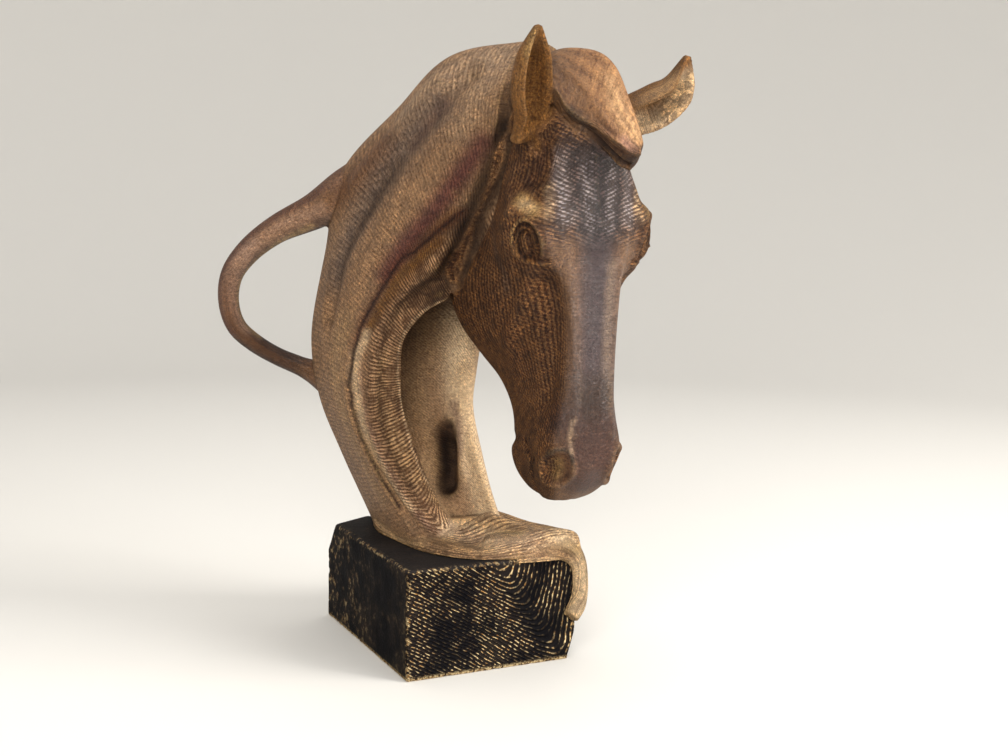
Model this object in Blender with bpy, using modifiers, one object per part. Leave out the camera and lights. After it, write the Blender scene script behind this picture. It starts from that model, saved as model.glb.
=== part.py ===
"""Driftwood horse head on a hewn block, about 290 mm tall, modelled in metres with +Z up.

The block stands on Z = 0 with its long side along Y. The horse faces -Y. Its neck is a
hollow curl of wood whose mouth opens to the front, and a branch leaves the back of the neck
and returns to it. The cast figure is one piece, resting on the block with a lip of wood
that hangs over the block's front right corner.
"""
import math

import bmesh
import bpy
import numpy as np
from mathutils import Vector

MM = 0.001

# Driving dimensions, in millimetres
BLOCK_LEFT = -42.0
BLOCK_RIGHT = 46.0
BLOCK_FRONT = -56.0
BLOCK_BACK = 56.0
BLOCK_HEIGHT = 52.0
HEAD_X = 27.0
FACE_Y = -100.0
SEAT_GAP = 0.3
VOXEL = 1.5
FIGURE_TRIANGLES = 7600


def spline(points, steps, closed=False):
    """Centripetal Catmull-Rom curves through points[i], all curves of axis 1 at once."""
    points = np.asarray(points, float)
    count = len(points)
    if closed:
        padded = np.concatenate([points[-1:], points, points[:2]])
        spans = count
    else:
        first = 2 * points[0] - points[1]
        last = 2 * points[-1] - points[-2]
        padded = np.concatenate([first[None], points, last[None]])
        spans = count - 1
    gaps = np.linalg.norm(np.diff(padded, axis=0), axis=-1)
    gaps = np.sqrt(np.maximum(gaps, 1e-6))[..., None]
    rows = []
    for i in range(spans):
        a, b, c, d = padded[i], padded[i + 1], padded[i + 2], padded[i + 3]
        before, here, after = gaps[i], gaps[i + 1], gaps[i + 2]
        start = here * ((b - a) / before - (c - a) / (before + here) + (c - b) / here)
        end = here * ((c - b) / here - (d - b) / (here + after) + (d - c) / after)
        for k in range(steps):
            t = k / steps
            rows.append(
                (2 * t ** 3 - 3 * t ** 2 + 1) * b
                + (t ** 3 - 2 * t ** 2 + t) * start
                + (3 * t ** 2 - 2 * t ** 3) * c
                + (t ** 3 - t ** 2) * end
            )
    if not closed:
        rows.append(padded[-2])
    return np.array(rows)


def loft(name, loops, along=6, around=4):
    """A closed skin through a row of loops, each a ring of points in millimetres."""
    grid = spline(loops, along)
    grid = spline(np.swapaxes(grid, 0, 1), around, closed=True)
    ring, rows = grid.shape[:2]
    verts = [tuple(p * MM) for p in np.swapaxes(grid, 0, 1).reshape(-1, 3)]
    faces = []
    for i in range(rows - 1):
        for j in range(ring):
            k = (j + 1) % ring
            faces.append((i * ring + j, i * ring + k, (i + 1) * ring + k, (i + 1) * ring + j))
    faces.append(tuple(reversed(range(ring))))
    faces.append(tuple((rows - 1) * ring + j for j in range(ring)))
    mesh = bpy.data.meshes.new(name)
    mesh.from_pydata(verts, [], faces)
    tidy = bmesh.new()
    tidy.from_mesh(mesh)
    bmesh.ops.recalc_face_normals(tidy, faces=tidy.faces)
    tidy.to_mesh(mesh)
    tidy.free()
    return mesh


# Worn corners of the block: three points on each plane that cuts one off
BLOCK_CUTS = [
    # right top edge, right lower edge, and the back left corner of the top
    ((37, -56, 52), (46, -56, 43), (37, 56, 52)),
    ((46, -56, 14), (41.5, -56, 0), (46, 56, 14)),
    ((-42, 56, 35), (-40, 45, 52), (-20, 56, 52)),
]

# Head: half sections at falling heights. Each pair is (out from the middle, back from the face),
# in the order forehead, bridge edge, brow, eye corner, cheek, jaw, throat.
HEAD_LEVELS = [
    (283, [(0, 24), (7, 25), (11, 30), (12, 38), (11, 46), (8, 52), (0, 56)]),
    (270, [(0, 10), (9, 12), (16, 20), (19, 32), (18, 46), (13, 58), (0, 62)]),
    (252, [(0, 2), (11, 4), (19, 12), (24, 26), (24, 42), (18, 58), (0, 66)]),
    (233, [(0, 0), (12, 2), (19, 8), (26, 24), (27, 40), (20, 62), (0, 70)]),
    (218, [(0, -1), (13, 1), (26, 8), (32, 20), (28, 44), (25, 68), (0, 78)]),
    (207, [(0, -1), (14, 1), (29, 7), (36, 17), (29, 46), (27, 82), (0, 88)]),
    (197, [(0, 0), (13, 1), (26, 8), (34, 18), (29, 50), (26, 92), (0, 92)]),
    (186, [(0, 0), (11, 1), (18, 8), (27, 26), (29, 56), (25, 98), (0, 93)]),
    (172, [(0, 0), (10, 1), (14, 8), (23, 28), (27, 58), (24, 99), (0, 92)]),
    (160, [(0, 0), (9.5, 1), (13, 8), (20, 28), (25, 56), (22, 92), (0, 86)]),
    (147, [(0, 0), (9.5, 1), (13, 8), (17, 26), (20, 48), (19, 75), (0, 73)]),
    (136, [(0, 0), (10, 1), (13.5, 8), (15.5, 24), (17, 42), (15.5, 61), (0, 62)]),
    (124, [(0, 0), (12, 2), (15.5, 8), (16, 22), (16, 36), (14.5, 51), (0, 54)]),
    (113, [(0, -1), (13, 2), (18, 8), (18, 20), (16.5, 33), (14.5, 48), (0, 52)]),
    (103, [(0, -1), (13, 2), (18, 8), (18, 20), (16, 33), (14.5, 50), (0, 53)]),
    (95, [(0, 5), (11, 7), (15, 12), (15.5, 21), (14.5, 32), (13.5, 46), (0, 49)]),
    (88, [(0, 14), (8, 15), (11, 18), (12, 24), (11.5, 31), (10, 40), (0, 43)]),
    (84, [(0, 22), (5, 23), (7, 25), (8, 28), (7, 32), (5, 35), (0, 36)]),
]

# Neck: guide lines that run down it, from the poll to the foot, in millimetres
NECK_GUIDES = {
    "crest": [(13, -62, 290), (-14, -33, 284), (-28, -8, 263), (-45, 28, 231), (-45, 45, 194),
              (-53, 47, 150), (-49, 46, 120), (-36, 48, 90), (-16, 52, 50), (-14, 52, 44)],
    "flank": [(-3, -64, 268), (-25, -42, 255), (-36, -24, 240), (-47, 2, 216), (-53, 18, 188),
              (-56, 24, 150), (-53, 23, 122), (-43, 22, 94), (-24, 16, 50), (-21, 14, 44)],
    "rim": [(-2, -60, 241), (-17, -44, 223), (-27, -31, 210), (-35, -21, 193), (-45, -10, 172),
            (-51, -2, 145), (-50, -1, 121), (-43, -5, 99), (-25, -22, 62), (-12, -38, 50)],
    "lip": [(8, -48, 222), (-10, -34, 204), (-20, -25, 192), (-27, -17, 182), (-36, -7, 165),
            (-40, 0, 136), (-39, 1, 117), (-36, -3, 98), (-18, -14, 64), (-5, -31, 50)],
    "edge": [(20, -38, 205), (2, -20, 184), (-5, -12, 173), (-13, -3, 166), (-20, 8, 151),
             (-20, 12, 131), (-19, 12, 118), (-14, 8, 98), (-3, -6, 66), (8, -22, 50)],
    "hollow": [(26, -30, 205), (8, -6, 190), (2, 6, 182), (-5, 20, 170), (-12, 31, 153),
               (-13, 33, 132), (-12, 32, 115), (-8, 24, 95), (3, 4, 64), (14, -12, 50)],
    "web": [(38, -42, 208), (26, -14, 190), (22, -1, 182), (17, 9, 170), (8, 20, 152),
            (5, 22, 132), (5, 19, 115), (8, 12, 94), (14, -6, 60), (21, -20, 50)],
    "web_edge": [(45, -48, 215), (38, -22, 200), (33, -9, 188), (27, 0, 172), (22, 10, 150),
                 (19, 11, 126), (17, 8, 113), (18, -1, 91), (25, -18, 58), (31, -28, 50)],
    "far_side": [(49, -58, 245), (46, -36, 232), (42, -12, 218), (37, 8, 198), (31, 22, 172),
                 (26, 29, 145), (24, 30, 122), (28, 28, 95), (34, 24, 50), (36, 22, 44)],
    "back": [(34, -62, 280), (20, -30, 272), (8, 0, 254), (-2, 36, 225), (-2, 50, 192),
             (-12, 56, 150), (-12, 56, 122), (-4, 57, 90), (12, 54, 48), (14, 54, 42)],
}

# Branch: centre points from the back of the neck out and round to its return, with radii
BRANCH = [
    ((-26, 10, 236), 12.0), ((-42, 26, 223), 11.5), ((-55, 38, 213), 9.0), ((-72, 50, 203), 7.0),
    ((-84, 57, 192), 6.2), ((-91, 62, 180), 5.6), ((-92, 64, 166), 5.2), ((-88, 64, 154), 5.0),
    ((-80, 61, 146), 4.8), ((-69, 57, 139), 4.6), ((-58, 52, 134), 5.0), ((-48, 46, 129), 7.5),
    ((-40, 40, 122), 9.0),
]

# Foot: the pad that spreads over the block, going round, each point with the ridge's height
FOOT_OUTLINE = [
    (-16, 52, 60), (-24, 36, 60), (-28, 17, 58), (-26, -4, 57), (-23, -24, 58), (-14, -41, 57),
    (-3, -50, 56), (15, -57, 60), (34, -60, 64), (47, -57, 62), (48, -40, 60), (44, -14, 58),
    (42, 16, 57), (36, 42, 57), (14, 54, 60),
]
# Hanging lip: centre points over the front right corner, with half width and half thickness
TONGUE = [
    ((12, -30, 52), 18, 5), ((28, -42, 54), 18, 6), ((40, -47, 55.5), 16, 6.8),
    ((47.5, -49, 48.5), 12.5, 5.6), ((49.3, -51, 38), 9.5, 5), ((47.5, -54, 28), 6.5, 4.6),
    ((42, -57.5, 21), 4, 4),
]


def head_loops():
    """The head's half sections, mirrored into closed rings at their heights."""
    loops = []
    for height, half in HEAD_LEVELS:
        right = [(HEAD_X + out, FACE_Y + back, height) for out, back in half]
        left = [(HEAD_X - out, FACE_Y + back, height) for out, back in half[-2:0:-1]]
        loops.append(right + left)
    return loops


def neck_loops():
    """Each station of the neck is a ring that takes one point from every guide line."""
    return [list(ring) for ring in zip(*NECK_GUIDES.values())]


def foot_loops():
    """The foot's outline, its ridge, and two inner rings that sink a little behind the ridge."""
    root = np.array([4.0, 10.0])
    loops = []
    for inset, rise in ((0.0, None), (0.02, 0.0), (0.30, -1.0), (0.62, 3.0)):
        ring = []
        for x, y, ridge in FOOT_OUTLINE:
            flat = np.array([x, y]) * (1 - inset) + root * inset
            ring.append((flat[0], flat[1], 50.0 if rise is None else ridge + rise))
        loops.append(ring)
    return loops


def frames(path):
    """Tangent and two side directions at every point of a path, turning as little as possible."""
    path = np.asarray(path, float)
    tangents = np.gradient(path, axis=0)
    tangents /= np.linalg.norm(tangents, axis=1)[:, None]
    side = np.cross(tangents[0], (0.0, 0.0, 1.0))
    if np.linalg.norm(side) < 0.2:
        side = np.array([0.0, 1.0, 0.0])
    result = []
    for tangent in tangents:
        side = side - tangent * (side @ tangent)
        side /= np.linalg.norm(side)
        result.append((tangent, side, np.cross(tangent, side)))
    return result


def ring_path(points, widths, heights, sides=12, up=None):
    """Ellipse rings along a path; up fixes the direction of the heights."""
    loops = []
    for point, width, height, (tangent, side, lift) in zip(points, widths, heights, frames(points)):
        if up is not None:
            side = np.cross(tangent, up)
            side /= np.linalg.norm(side)
            lift = np.cross(side, tangent)
        ring = []
        for k in range(sides):
            turn = 2 * math.pi * k / sides
            ring.append(np.array(point) + side * width * math.cos(turn) + lift * height * math.sin(turn))
        loops.append(ring)
    return loops


# Ears: centre line, half widths, and the way the cup opens
EARS = {
    "near": {
        "path": [(1, -80, 244), (1, -86, 254), (-3, -93, 265), (-6, -100, 277), (-8, -107, 289)],
        "widths": [6.5, 8.0, 9.2, 7.6, 1.8],
        "opens": (-0.13, -0.94, 0.10),
    },
    "far": {
        "path": [(43, -78, 250), (50, -83, 256), (60, -90, 261), (67, -96, 268), (69, -101, 283)],
        "widths": [7.0, 9.5, 10.5, 9.0, 1.8],
        "opens": (0.27, -0.80, -0.41),
    },
}
EAR_WALL = 2.8
EAR_WRAP = 118

# Forelock: guide lines from the poll to its cut tip
FORELOCK_GUIDES = {
    "crown": [(20, -56, 280), (20, -78, 285), (29, -92, 283), (33, -100, 276.5), (37, -106, 262),
              (40, -110, 250), (41.5, -111, 243.5)],
    "facet": [(12, -56, 276), (10, -87, 279), (20, -98, 270), (25, -104, 263), (30, -109, 254),
              (35, -112.5, 246), (39, -112.5, 241.5)],
    "left_top": [(8, -58, 270), (5, -91, 269.5), (12, -101, 255.5), (21, -106.5, 251.5),
                 (27, -110.5, 245), (33, -113, 241), (38.5, -112.5, 239.8)],
    "left_lip": [(8, -58, 269), (5, -90, 268), (12, -100, 254), (21, -105.5, 250), (27, -109.5, 243.5),
                 (33, -112, 239.5), (38.5, -111.5, 238.5)],
    "left_under": [(10, -58, 266), (10, -86, 262), (14, -97, 251), (23, -98, 246), (29, -101, 240.5),
                   (34, -103, 234.5), (38.5, -105, 232)],
    "under": [(22, -56, 264), (22, -80, 262), (26, -90, 256), (30, -94, 248), (34, -98, 242),
              (37, -101, 236), (40, -104, 233)],
    "right_under": [(33, -58, 266), (34, -74, 264), (36, -84, 260), (38, -92, 252), (41, -98, 244),
                    (42, -102, 238), (41.5, -105, 234)],
    "right": [(33, -58, 276), (33, -76, 278), (34, -82, 275), (37, -90, 266), (41, -97, 254),
              (43, -103, 245), (42.5, -107, 239)],
}


def ear_loops(path, widths, opens):
    """Horseshoe rings along the ear, closed at the root and at the tip."""
    points = spline([[p] for p in path], 3)[:, 0]
    sizes = spline([[(w, 0, 0)] for w in widths], 3)[:, 0, 0]
    opens = np.array(opens) / np.linalg.norm(opens)
    loops = []
    last = len(points) - 1
    for i, (point, size, (tangent, _, _)) in enumerate(zip(points, sizes, frames(points))):
        front = opens - tangent * (opens @ tangent)
        front /= np.linalg.norm(front)
        side = np.cross(tangent, front)
        along = i / last
        hollow = min(1.0, 2.5 * along) * min(1.0, 4.0 * (1.0 - along))
        wall = min(EAR_WALL, 0.6 * size)
        inner = size - wall
        ring = []
        for k in range(9):
            turn = math.radians(-EAR_WRAP + EAR_WRAP * k / 4)
            ring.append(point + side * size * math.sin(turn) - front * size * math.cos(turn))
        for k in range(7):
            turn = math.radians(EAR_WRAP - 10 - (EAR_WRAP - 10) * k / 3)
            bed = math.cos(math.radians(EAR_WRAP))
            depth = math.cos(turn) * hollow + bed * (1.0 - hollow)
            ring.append(point + side * inner * math.sin(turn) - front * inner * depth)
        loops.append(ring)
    return loops


# Strokes of the gouge: a line on the surface, how far it reaches to each side, and how deep it
# goes (below zero it raises a ridge). Those of the head are cut on both of its sides.
NECK_STROKES = {
    "branch valley": ([(-12, -50, 274), (-24, -42, 260), (-36, -25, 232), (-41, -14, 222),
                       (-47, -1, 208), (-51, 9, 195), (-53, 18, 178)], 8, 3.5),
    "branch strand": ([(-22, -38, 271), (-39, -14, 243), (-46, 4, 226)], 9, -2),
    "cheek crease": ([(0, -60, 246), (-1, -52, 224), (-1, -45, 212), (-3, -34, 201),
                      (-7, -26, 190), (-6, -18, 180)], 9, 5),
    "rim ridge": ([(-17, -44, 223), (-35, -21, 193), (-47, -7, 163), (-51, -1, 135),
                   (-46, -3, 108), (-33, -13, 79), (-22, -18, 66)], 5, -1.5),
    "band groove": ([(-6, -24, 190), (-15, -15, 178), (-25, -6, 167), (-30, 3, 150), (-30, 6, 131),
                     (-29, 5, 115), (-25, 2, 98), (-17, -4, 82)], 8, 3),
    "knothole slope": ([(3, 17, 98), (2, 14, 86), (2.5, 10.5, 77)], 9, 2.5),
    "knothole top": ([(8, 15, 103), (7.5, 14, 97), (7, 12.5, 91)], 4.5, 5),
    "knothole": ([(7, 12.5, 92), (6.5, 11, 86), (6, 9.8, 81), (5.3, 8.6, 77)], 6.5, 11),
}
HEAD_STROKES = {
    "temple hollow": ([(1, -80, 235), (0, -84, 227)], 9, 3),
    "brow ridge": ([(-7, -80, 210), (-4, -88, 215), (3, -95, 213)], 6, -2),
    "eye socket": ([(-3, -91, 203), (0, -92, 198)], 9, 3),
    "eyeball": ([(-2, -91, 202), (-1, -91, 200)], 6.5, -3.5),
    "upper lid": ([(-8, -86, 203), (-5, -89, 208), (-1, -93, 209), (3, -95, 205), (6, -95, 197),
                   (7, -95, 192)], 3, -1.8),
    "lower lid": ([(-8, -85, 202), (-6, -85, 196), (-2, -88, 192), (4, -92, 190)], 3, -1.4),
    "bridge edge": ([(11, -98, 208), (13.5, -99, 198), (16, -99, 182), (17.5, -99, 167),
                     (19, -99.5, 150), (19.5, -100, 135), (18, -100, 118)], 4.5, -1.2),
    "bridge hollow": ([(8, -90, 182), (11, -88, 165), (12, -86, 148), (12, -84, 132)], 9, 2.5),
    "facial crest": ([(2, -88, 190), (2, -78, 178), (4, -68, 166), (7, -58, 154)], 7, -2),
    "nostril": ([(12, -95, 104), (12.5, -94, 100)], 8.5, 6),
    "nostril rim": ([(11.5, -96, 111.5), (8.5, -91, 108.5), (8.5, -87, 102.5), (11, -86, 96),
                     (14, -90, 94), (17.5, -95, 96.5), (18, -99.5, 102), (17, -99.5, 109),
                     (14.5, -98.5, 111.5), (11.5, -96, 111.5)], 3, -1.5),
    "mouth": ([(15, -70, 88), (12, -71, 95), (10, -73, 102), (11, -66, 110)], 3.5, 2.2),
    "chin groove": ([(12, -54, 109), (19, -51, 108), (27, -50, 107)], 5, 1.6),
}


def new_object(name, mesh, collection):
    """An object in a collection that carries this mesh."""
    item = bpy.data.objects.new(name, mesh)
    collection.objects.link(item)
    return item


def evaluated_mesh(item):
    """The object's mesh with its modifiers applied, as a mesh of its own."""
    bpy.context.view_layer.update()
    shown = item.evaluated_get(bpy.context.evaluated_depsgraph_get())
    mesh = bpy.data.meshes.new_from_object(shown)
    item.modifiers.clear()
    return mesh


def swap_mesh(item, mesh):
    """Give the object another mesh and drop the old one."""
    old = item.data
    item.data = mesh
    bpy.data.meshes.remove(old)


def ring_shell(name, table, up=None, sides=12):
    """A tube with the centre points, widths and heights of a table."""
    points = spline([[p] for p, *_ in table], 4)[:, 0]
    sizes = spline([[(row[1], row[-1], 0)] for row in table], 4)[:, 0]
    loops = ring_path(points, sizes[:, 0], sizes[:, 1], sides, up)
    return loft(name, loops, 1, 2)


def figure_shells():
    """The overlapping closed skins that make up the carved figure."""
    shells = [
        loft("head", head_loops(), 5, 4),
        loft("neck", neck_loops(), 8, 5),
        loft("foot", foot_loops(), 4, 4),
        ring_shell("branch", BRANCH),
        ring_shell("tongue", TONGUE, up=(0.75, -0.25, 0.6)),
        loft("forelock", list(zip(*FORELOCK_GUIDES.values())), 5, 6),
    ]
    for name, ear in EARS.items():
        shells.append(loft(name, ear_loops(ear["path"], ear["widths"], ear["opens"]), 2, 3))
    return shells


def join_meshes(name, meshes):
    """One mesh that holds all the skins side by side."""
    body = bmesh.new()
    for mesh in meshes:
        body.from_mesh(mesh)
        bpy.data.meshes.remove(mesh)
    joined = bpy.data.meshes.new(name)
    body.to_mesh(joined)
    body.free()
    return joined


def fuse(item, size):
    """Fuse overlapping skins into one surface by a voxel remesh."""
    remesh = item.modifiers.new("fuse", "REMESH")
    remesh.mode = "VOXEL"
    remesh.voxel_size = size * MM
    remesh.use_smooth_shade = True
    swap_mesh(item, evaluated_mesh(item))


def relax(item, rounds, factor=0.5):
    """Smooth the fused surface evenly."""
    smooth = item.modifiers.new("relax", "SMOOTH")
    smooth.factor = factor
    smooth.iterations = rounds
    swap_mesh(item, evaluated_mesh(item))


def carve(item, strokes, mirrored=False):
    """Push the surface in or out along each stroke, fading to nothing at its reach."""
    mesh = item.data
    count = len(mesh.vertices)
    places = np.empty(count * 3)
    normals = np.empty(count * 3)
    for points, reach, depth in strokes.values():
        mesh.vertices.foreach_get("co", places)
        mesh.vertices.foreach_get("normal", normals)
        spots = places.reshape(-1, 3)
        line = spline([[p] for p in points], 4)[:, 0] * MM
        weight = stroke_weight(spots, line, reach * MM)
        if mirrored:
            other = line * (-1, 1, 1) + (2 * HEAD_X * MM, 0, 0)
            weight = np.maximum(weight, stroke_weight(spots, other, reach * MM))
        spots -= normals.reshape(-1, 3) * (weight * depth * MM)[:, None]
        mesh.vertices.foreach_set("co", places)
        mesh.update()


def stroke_weight(spots, line, reach):
    """One on the line, falling to zero at the reach as a raised cosine."""
    nearest = np.full(len(spots), reach)
    for start, end in zip(line[:-1], line[1:]):
        run = end - start
        share = np.clip((spots - start) @ run / (run @ run), 0.0, 1.0)
        away = np.linalg.norm(spots - start - share[:, None] * run, axis=1)
        nearest = np.minimum(nearest, away)
    return 0.5 + 0.5 * np.cos(np.pi * nearest / reach)


def hewn_block(gap=0.0):
    """The block as a box whose worn corners are cut off by planes; gap swells it evenly."""
    body = bmesh.new()
    bmesh.ops.create_cube(body, size=1.0)
    low = Vector((BLOCK_LEFT, BLOCK_FRONT, 0.0))
    high = Vector((BLOCK_RIGHT, BLOCK_BACK, BLOCK_HEIGHT))
    for vert in body.verts:
        for axis in range(3):
            side = 1 if vert.co[axis] > 0 else -1
            edge = high[axis] if side > 0 else low[axis]
            vert.co[axis] = (edge + side * gap) * MM
    for corners in BLOCK_CUTS:
        one, two, three = [Vector(point) for point in corners]
        normal = (two - one).cross(three - one).normalized()
        if normal.dot(one - (low + high) / 2) < 0:
            normal = -normal
        at = (one + normal * gap) * MM
        geometry = list(body.verts) + list(body.edges) + list(body.faces)
        bmesh.ops.bisect_plane(body, geom=geometry, plane_co=at, plane_no=normal, clear_outer=True)
        rim = [edge for edge in body.edges if edge.is_boundary]
        bmesh.ops.holes_fill(body, edges=rim)
    bmesh.ops.recalc_face_normals(body, faces=body.faces)
    mesh = bpy.data.meshes.new("block")
    body.to_mesh(mesh)
    body.free()
    return mesh


def finish(name, colour, roughness):
    """A plain Principled material."""
    material = bpy.data.materials.new(name)
    material.use_nodes = True
    shader = material.node_tree.nodes["Principled BSDF"]
    shader.inputs["Base Color"].default_value = (*colour, 1.0)
    shader.inputs["Roughness"].default_value = roughness
    shader.inputs["Metallic"].default_value = 0.0
    return material


def build():
    """Model the sculpture: the figure first, then the block it rests on."""
    for item in list(bpy.data.objects):
        bpy.data.objects.remove(item, do_unlink=True)
    pieces = bpy.data.collections.new("driftwood_horse_head")
    cutters = bpy.data.collections.new("cutters")
    for collection in (pieces, cutters):
        bpy.context.scene.collection.children.link(collection)

    figure = new_object("horse_head", join_meshes("horse_head", figure_shells()), pieces)
    fuse(figure, VOXEL)
    relax(figure, 3)
    carve(figure, NECK_STROKES)
    carve(figure, HEAD_STROKES, mirrored=True)
    relax(figure, 1)
    figure.data.materials.append(finish("painted_resin_wood", (0.33, 0.21, 0.11), 0.5))

    thin = figure.modifiers.new("thin", "DECIMATE")
    thin.ratio = min(1.0, FIGURE_TRIANGLES / (2 * len(figure.data.polygons)))
    thin.use_collapse_triangulate = True

    cutter = new_object("seat_cutter", hewn_block(SEAT_GAP), cutters)
    cutter.hide_render = True
    cutter.display_type = "WIRE"
    seat = figure.modifiers.new("seat", "BOOLEAN")
    seat.operation = "DIFFERENCE"
    seat.solver = "EXACT"
    seat.object = cutter

    block = new_object("plinth_block", hewn_block(), pieces)
    block.data.materials.append(finish("black_painted_resin", (0.02, 0.02, 0.022), 0.6))
    return figure, block


build()
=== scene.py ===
# %% [markdown]
# # A horse head carved as driftwood
#
# The object is a shelf sculpture, 290 mm tall. One casting makes the horse: a head with ears and
# a forelock, a neck that curls like a shaving of wood, a branch that leaves the back of the neck
# and grows into it again, and a foot that spreads over a black block. The block is a casting of
# its own, with raised end grain on its front. The packed model already holds both solids. This
# script gives them their real surface: tool marks, grain, and the layered paint.

# %% The packed model
import math

import bmesh
import bpy
import numpy as np
from mathutils import Matrix, Vector


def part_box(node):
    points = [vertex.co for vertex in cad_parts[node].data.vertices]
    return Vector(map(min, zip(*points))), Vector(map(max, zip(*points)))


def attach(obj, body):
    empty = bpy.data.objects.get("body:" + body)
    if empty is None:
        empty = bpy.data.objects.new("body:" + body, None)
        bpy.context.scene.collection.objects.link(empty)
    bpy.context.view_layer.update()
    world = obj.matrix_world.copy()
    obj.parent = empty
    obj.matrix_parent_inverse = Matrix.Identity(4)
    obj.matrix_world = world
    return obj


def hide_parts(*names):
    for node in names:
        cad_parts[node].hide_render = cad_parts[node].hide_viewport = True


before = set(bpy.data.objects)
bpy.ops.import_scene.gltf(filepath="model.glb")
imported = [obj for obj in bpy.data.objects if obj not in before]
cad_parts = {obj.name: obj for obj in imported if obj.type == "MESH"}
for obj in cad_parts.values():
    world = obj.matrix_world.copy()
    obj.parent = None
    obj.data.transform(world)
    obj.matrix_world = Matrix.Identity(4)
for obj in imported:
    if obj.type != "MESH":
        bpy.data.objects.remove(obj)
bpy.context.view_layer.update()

MM = 0.001
figure_box = [list(corner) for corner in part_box("horse_head")]
block_box = [list(corner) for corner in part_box("plinth_block")]

# %% [markdown]
# ## Where the camera stands
#
# A photograph of a box gives its own camera away: the block's edges run to vanishing points.
# They put the camera 64 cm from the block, turned 26 degrees to the right of square and tilted
# down by 7. A camera is easiest to place by its three axes: right, up, and back from the view.

# %% Camera
def add_to_scene(name, data):
    """A new object with this data, linked to the scene."""
    item = bpy.data.objects.new(name, data)
    bpy.context.scene.collection.objects.link(item)
    return item


EYE = Vector((-0.2576, -0.5867, 0.2111))
TURN = math.radians(26.3)
TILT = math.radians(7.0)
ROLL = math.radians(1.1)
FOCAL_PX = 1300
PHOTO_WIDTH_PX = 1008
SENSOR_MM = 36.0

look = Vector((math.sin(TURN) * math.cos(TILT), math.cos(TURN) * math.cos(TILT), -math.sin(TILT)))
level_right = Vector((math.cos(TURN), -math.sin(TURN), 0.0))
level_up = level_right.cross(look)
right = level_right * math.cos(ROLL) + level_up * math.sin(ROLL)
up = level_up * math.cos(ROLL) - level_right * math.sin(ROLL)

lens = bpy.data.cameras.new("photo_camera")
lens.sensor_width = SENSOR_MM
lens.lens = SENSOR_MM * FOCAL_PX / PHOTO_WIDTH_PX
camera = add_to_scene("photo_camera", lens)
camera.matrix_world = Matrix.Translation(EYE) @ Matrix((right, up, -look)).transposed().to_4x4()
bpy.context.scene.camera = camera
print("lens", round(lens.lens, 1), "mm")

# %% [markdown]
# ## Floor and light
#
# The studio is a wide, shallow bowl: flat where the sculpture stands, then curving up all round,
# so that every view has the same pale ground with no horizon. It is a turned shape, a profile
# swept round the Z axis, worked out on a grid of radius and angle.

# %% Helpers that turn arrays into meshes
def grid_faces(rows, columns):
    """Corner numbers of the quads between neighbouring points of a rows by columns grid."""
    corner = np.arange((rows - 1) * columns).reshape(rows - 1, columns)[:, :-1]
    quads = np.stack([corner, corner + 1, corner + columns + 1, corner + columns], axis=-1)
    return quads.reshape(-1, 4)


def add_object(name, points, faces):
    """A mesh object with these points, in metres, linked to the scene."""
    mesh = bpy.data.meshes.new(name)
    mesh.from_pydata(np.asarray(points, float).reshape(-1, 3), [], faces)
    mesh.update()
    return add_to_scene(name, mesh)


print("a grid of 3 by 4 points has", len(grid_faces(3, 4)), "quads")

# %% Studio bowl
FLAT_RADIUS = 1.1
RISE_RADIUS = 1.2
WALL_TOP = 2.2


def studio_bowl(turns=96):
    """Radius r and height z of the profile: flat to FLAT_RADIUS, a quarter circle, then a wall."""
    bend = np.linspace(0.0, np.pi / 2, 24)
    radius = np.concatenate([[0.002, 0.5], FLAT_RADIUS + RISE_RADIUS * np.sin(bend)])
    height = np.concatenate([[0.0, 0.0], RISE_RADIUS * (1.0 - np.cos(bend))])
    radius = np.append(radius, FLAT_RADIUS + RISE_RADIUS)
    height = np.append(height, WALL_TOP)
    angle = np.linspace(0.0, 2 * np.pi, turns + 1)
    x = radius[:, None] * np.cos(angle)
    y = radius[:, None] * np.sin(angle)
    z = np.broadcast_to(height[:, None], x.shape)
    return np.stack([x, y, z], axis=-1)


bowl = studio_bowl()
floor = add_object("floor", bowl, grid_faces(*bowl.shape[:2]).tolist())
floor.data.shade_smooth()
print("floor", bowl.shape[0] * bowl.shape[1], "points")

# %% Floor paint and lamps
def shader_of(name, colour, roughness):
    """A material and its Principled shader, with a plain colour and roughness."""
    material = bpy.data.materials.new(name)
    material.use_nodes = True
    shader = material.node_tree.nodes["Principled BSDF"]
    shader.inputs["Base Color"].default_value = (*colour, 1.0)
    shader.inputs["Roughness"].default_value = roughness
    return material, shader


def soft_lamp(name, place, aim, size, watts, colour):
    """A square area lamp that looks at a point."""
    lamp = bpy.data.lights.new(name, "AREA")
    lamp.size = size
    lamp.energy = watts
    lamp.color = colour
    item = add_to_scene(name, lamp)
    item.location = place
    item.rotation_euler = (Vector(aim) - Vector(place)).to_track_quat("-Z", "Y").to_euler()
    return item


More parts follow.
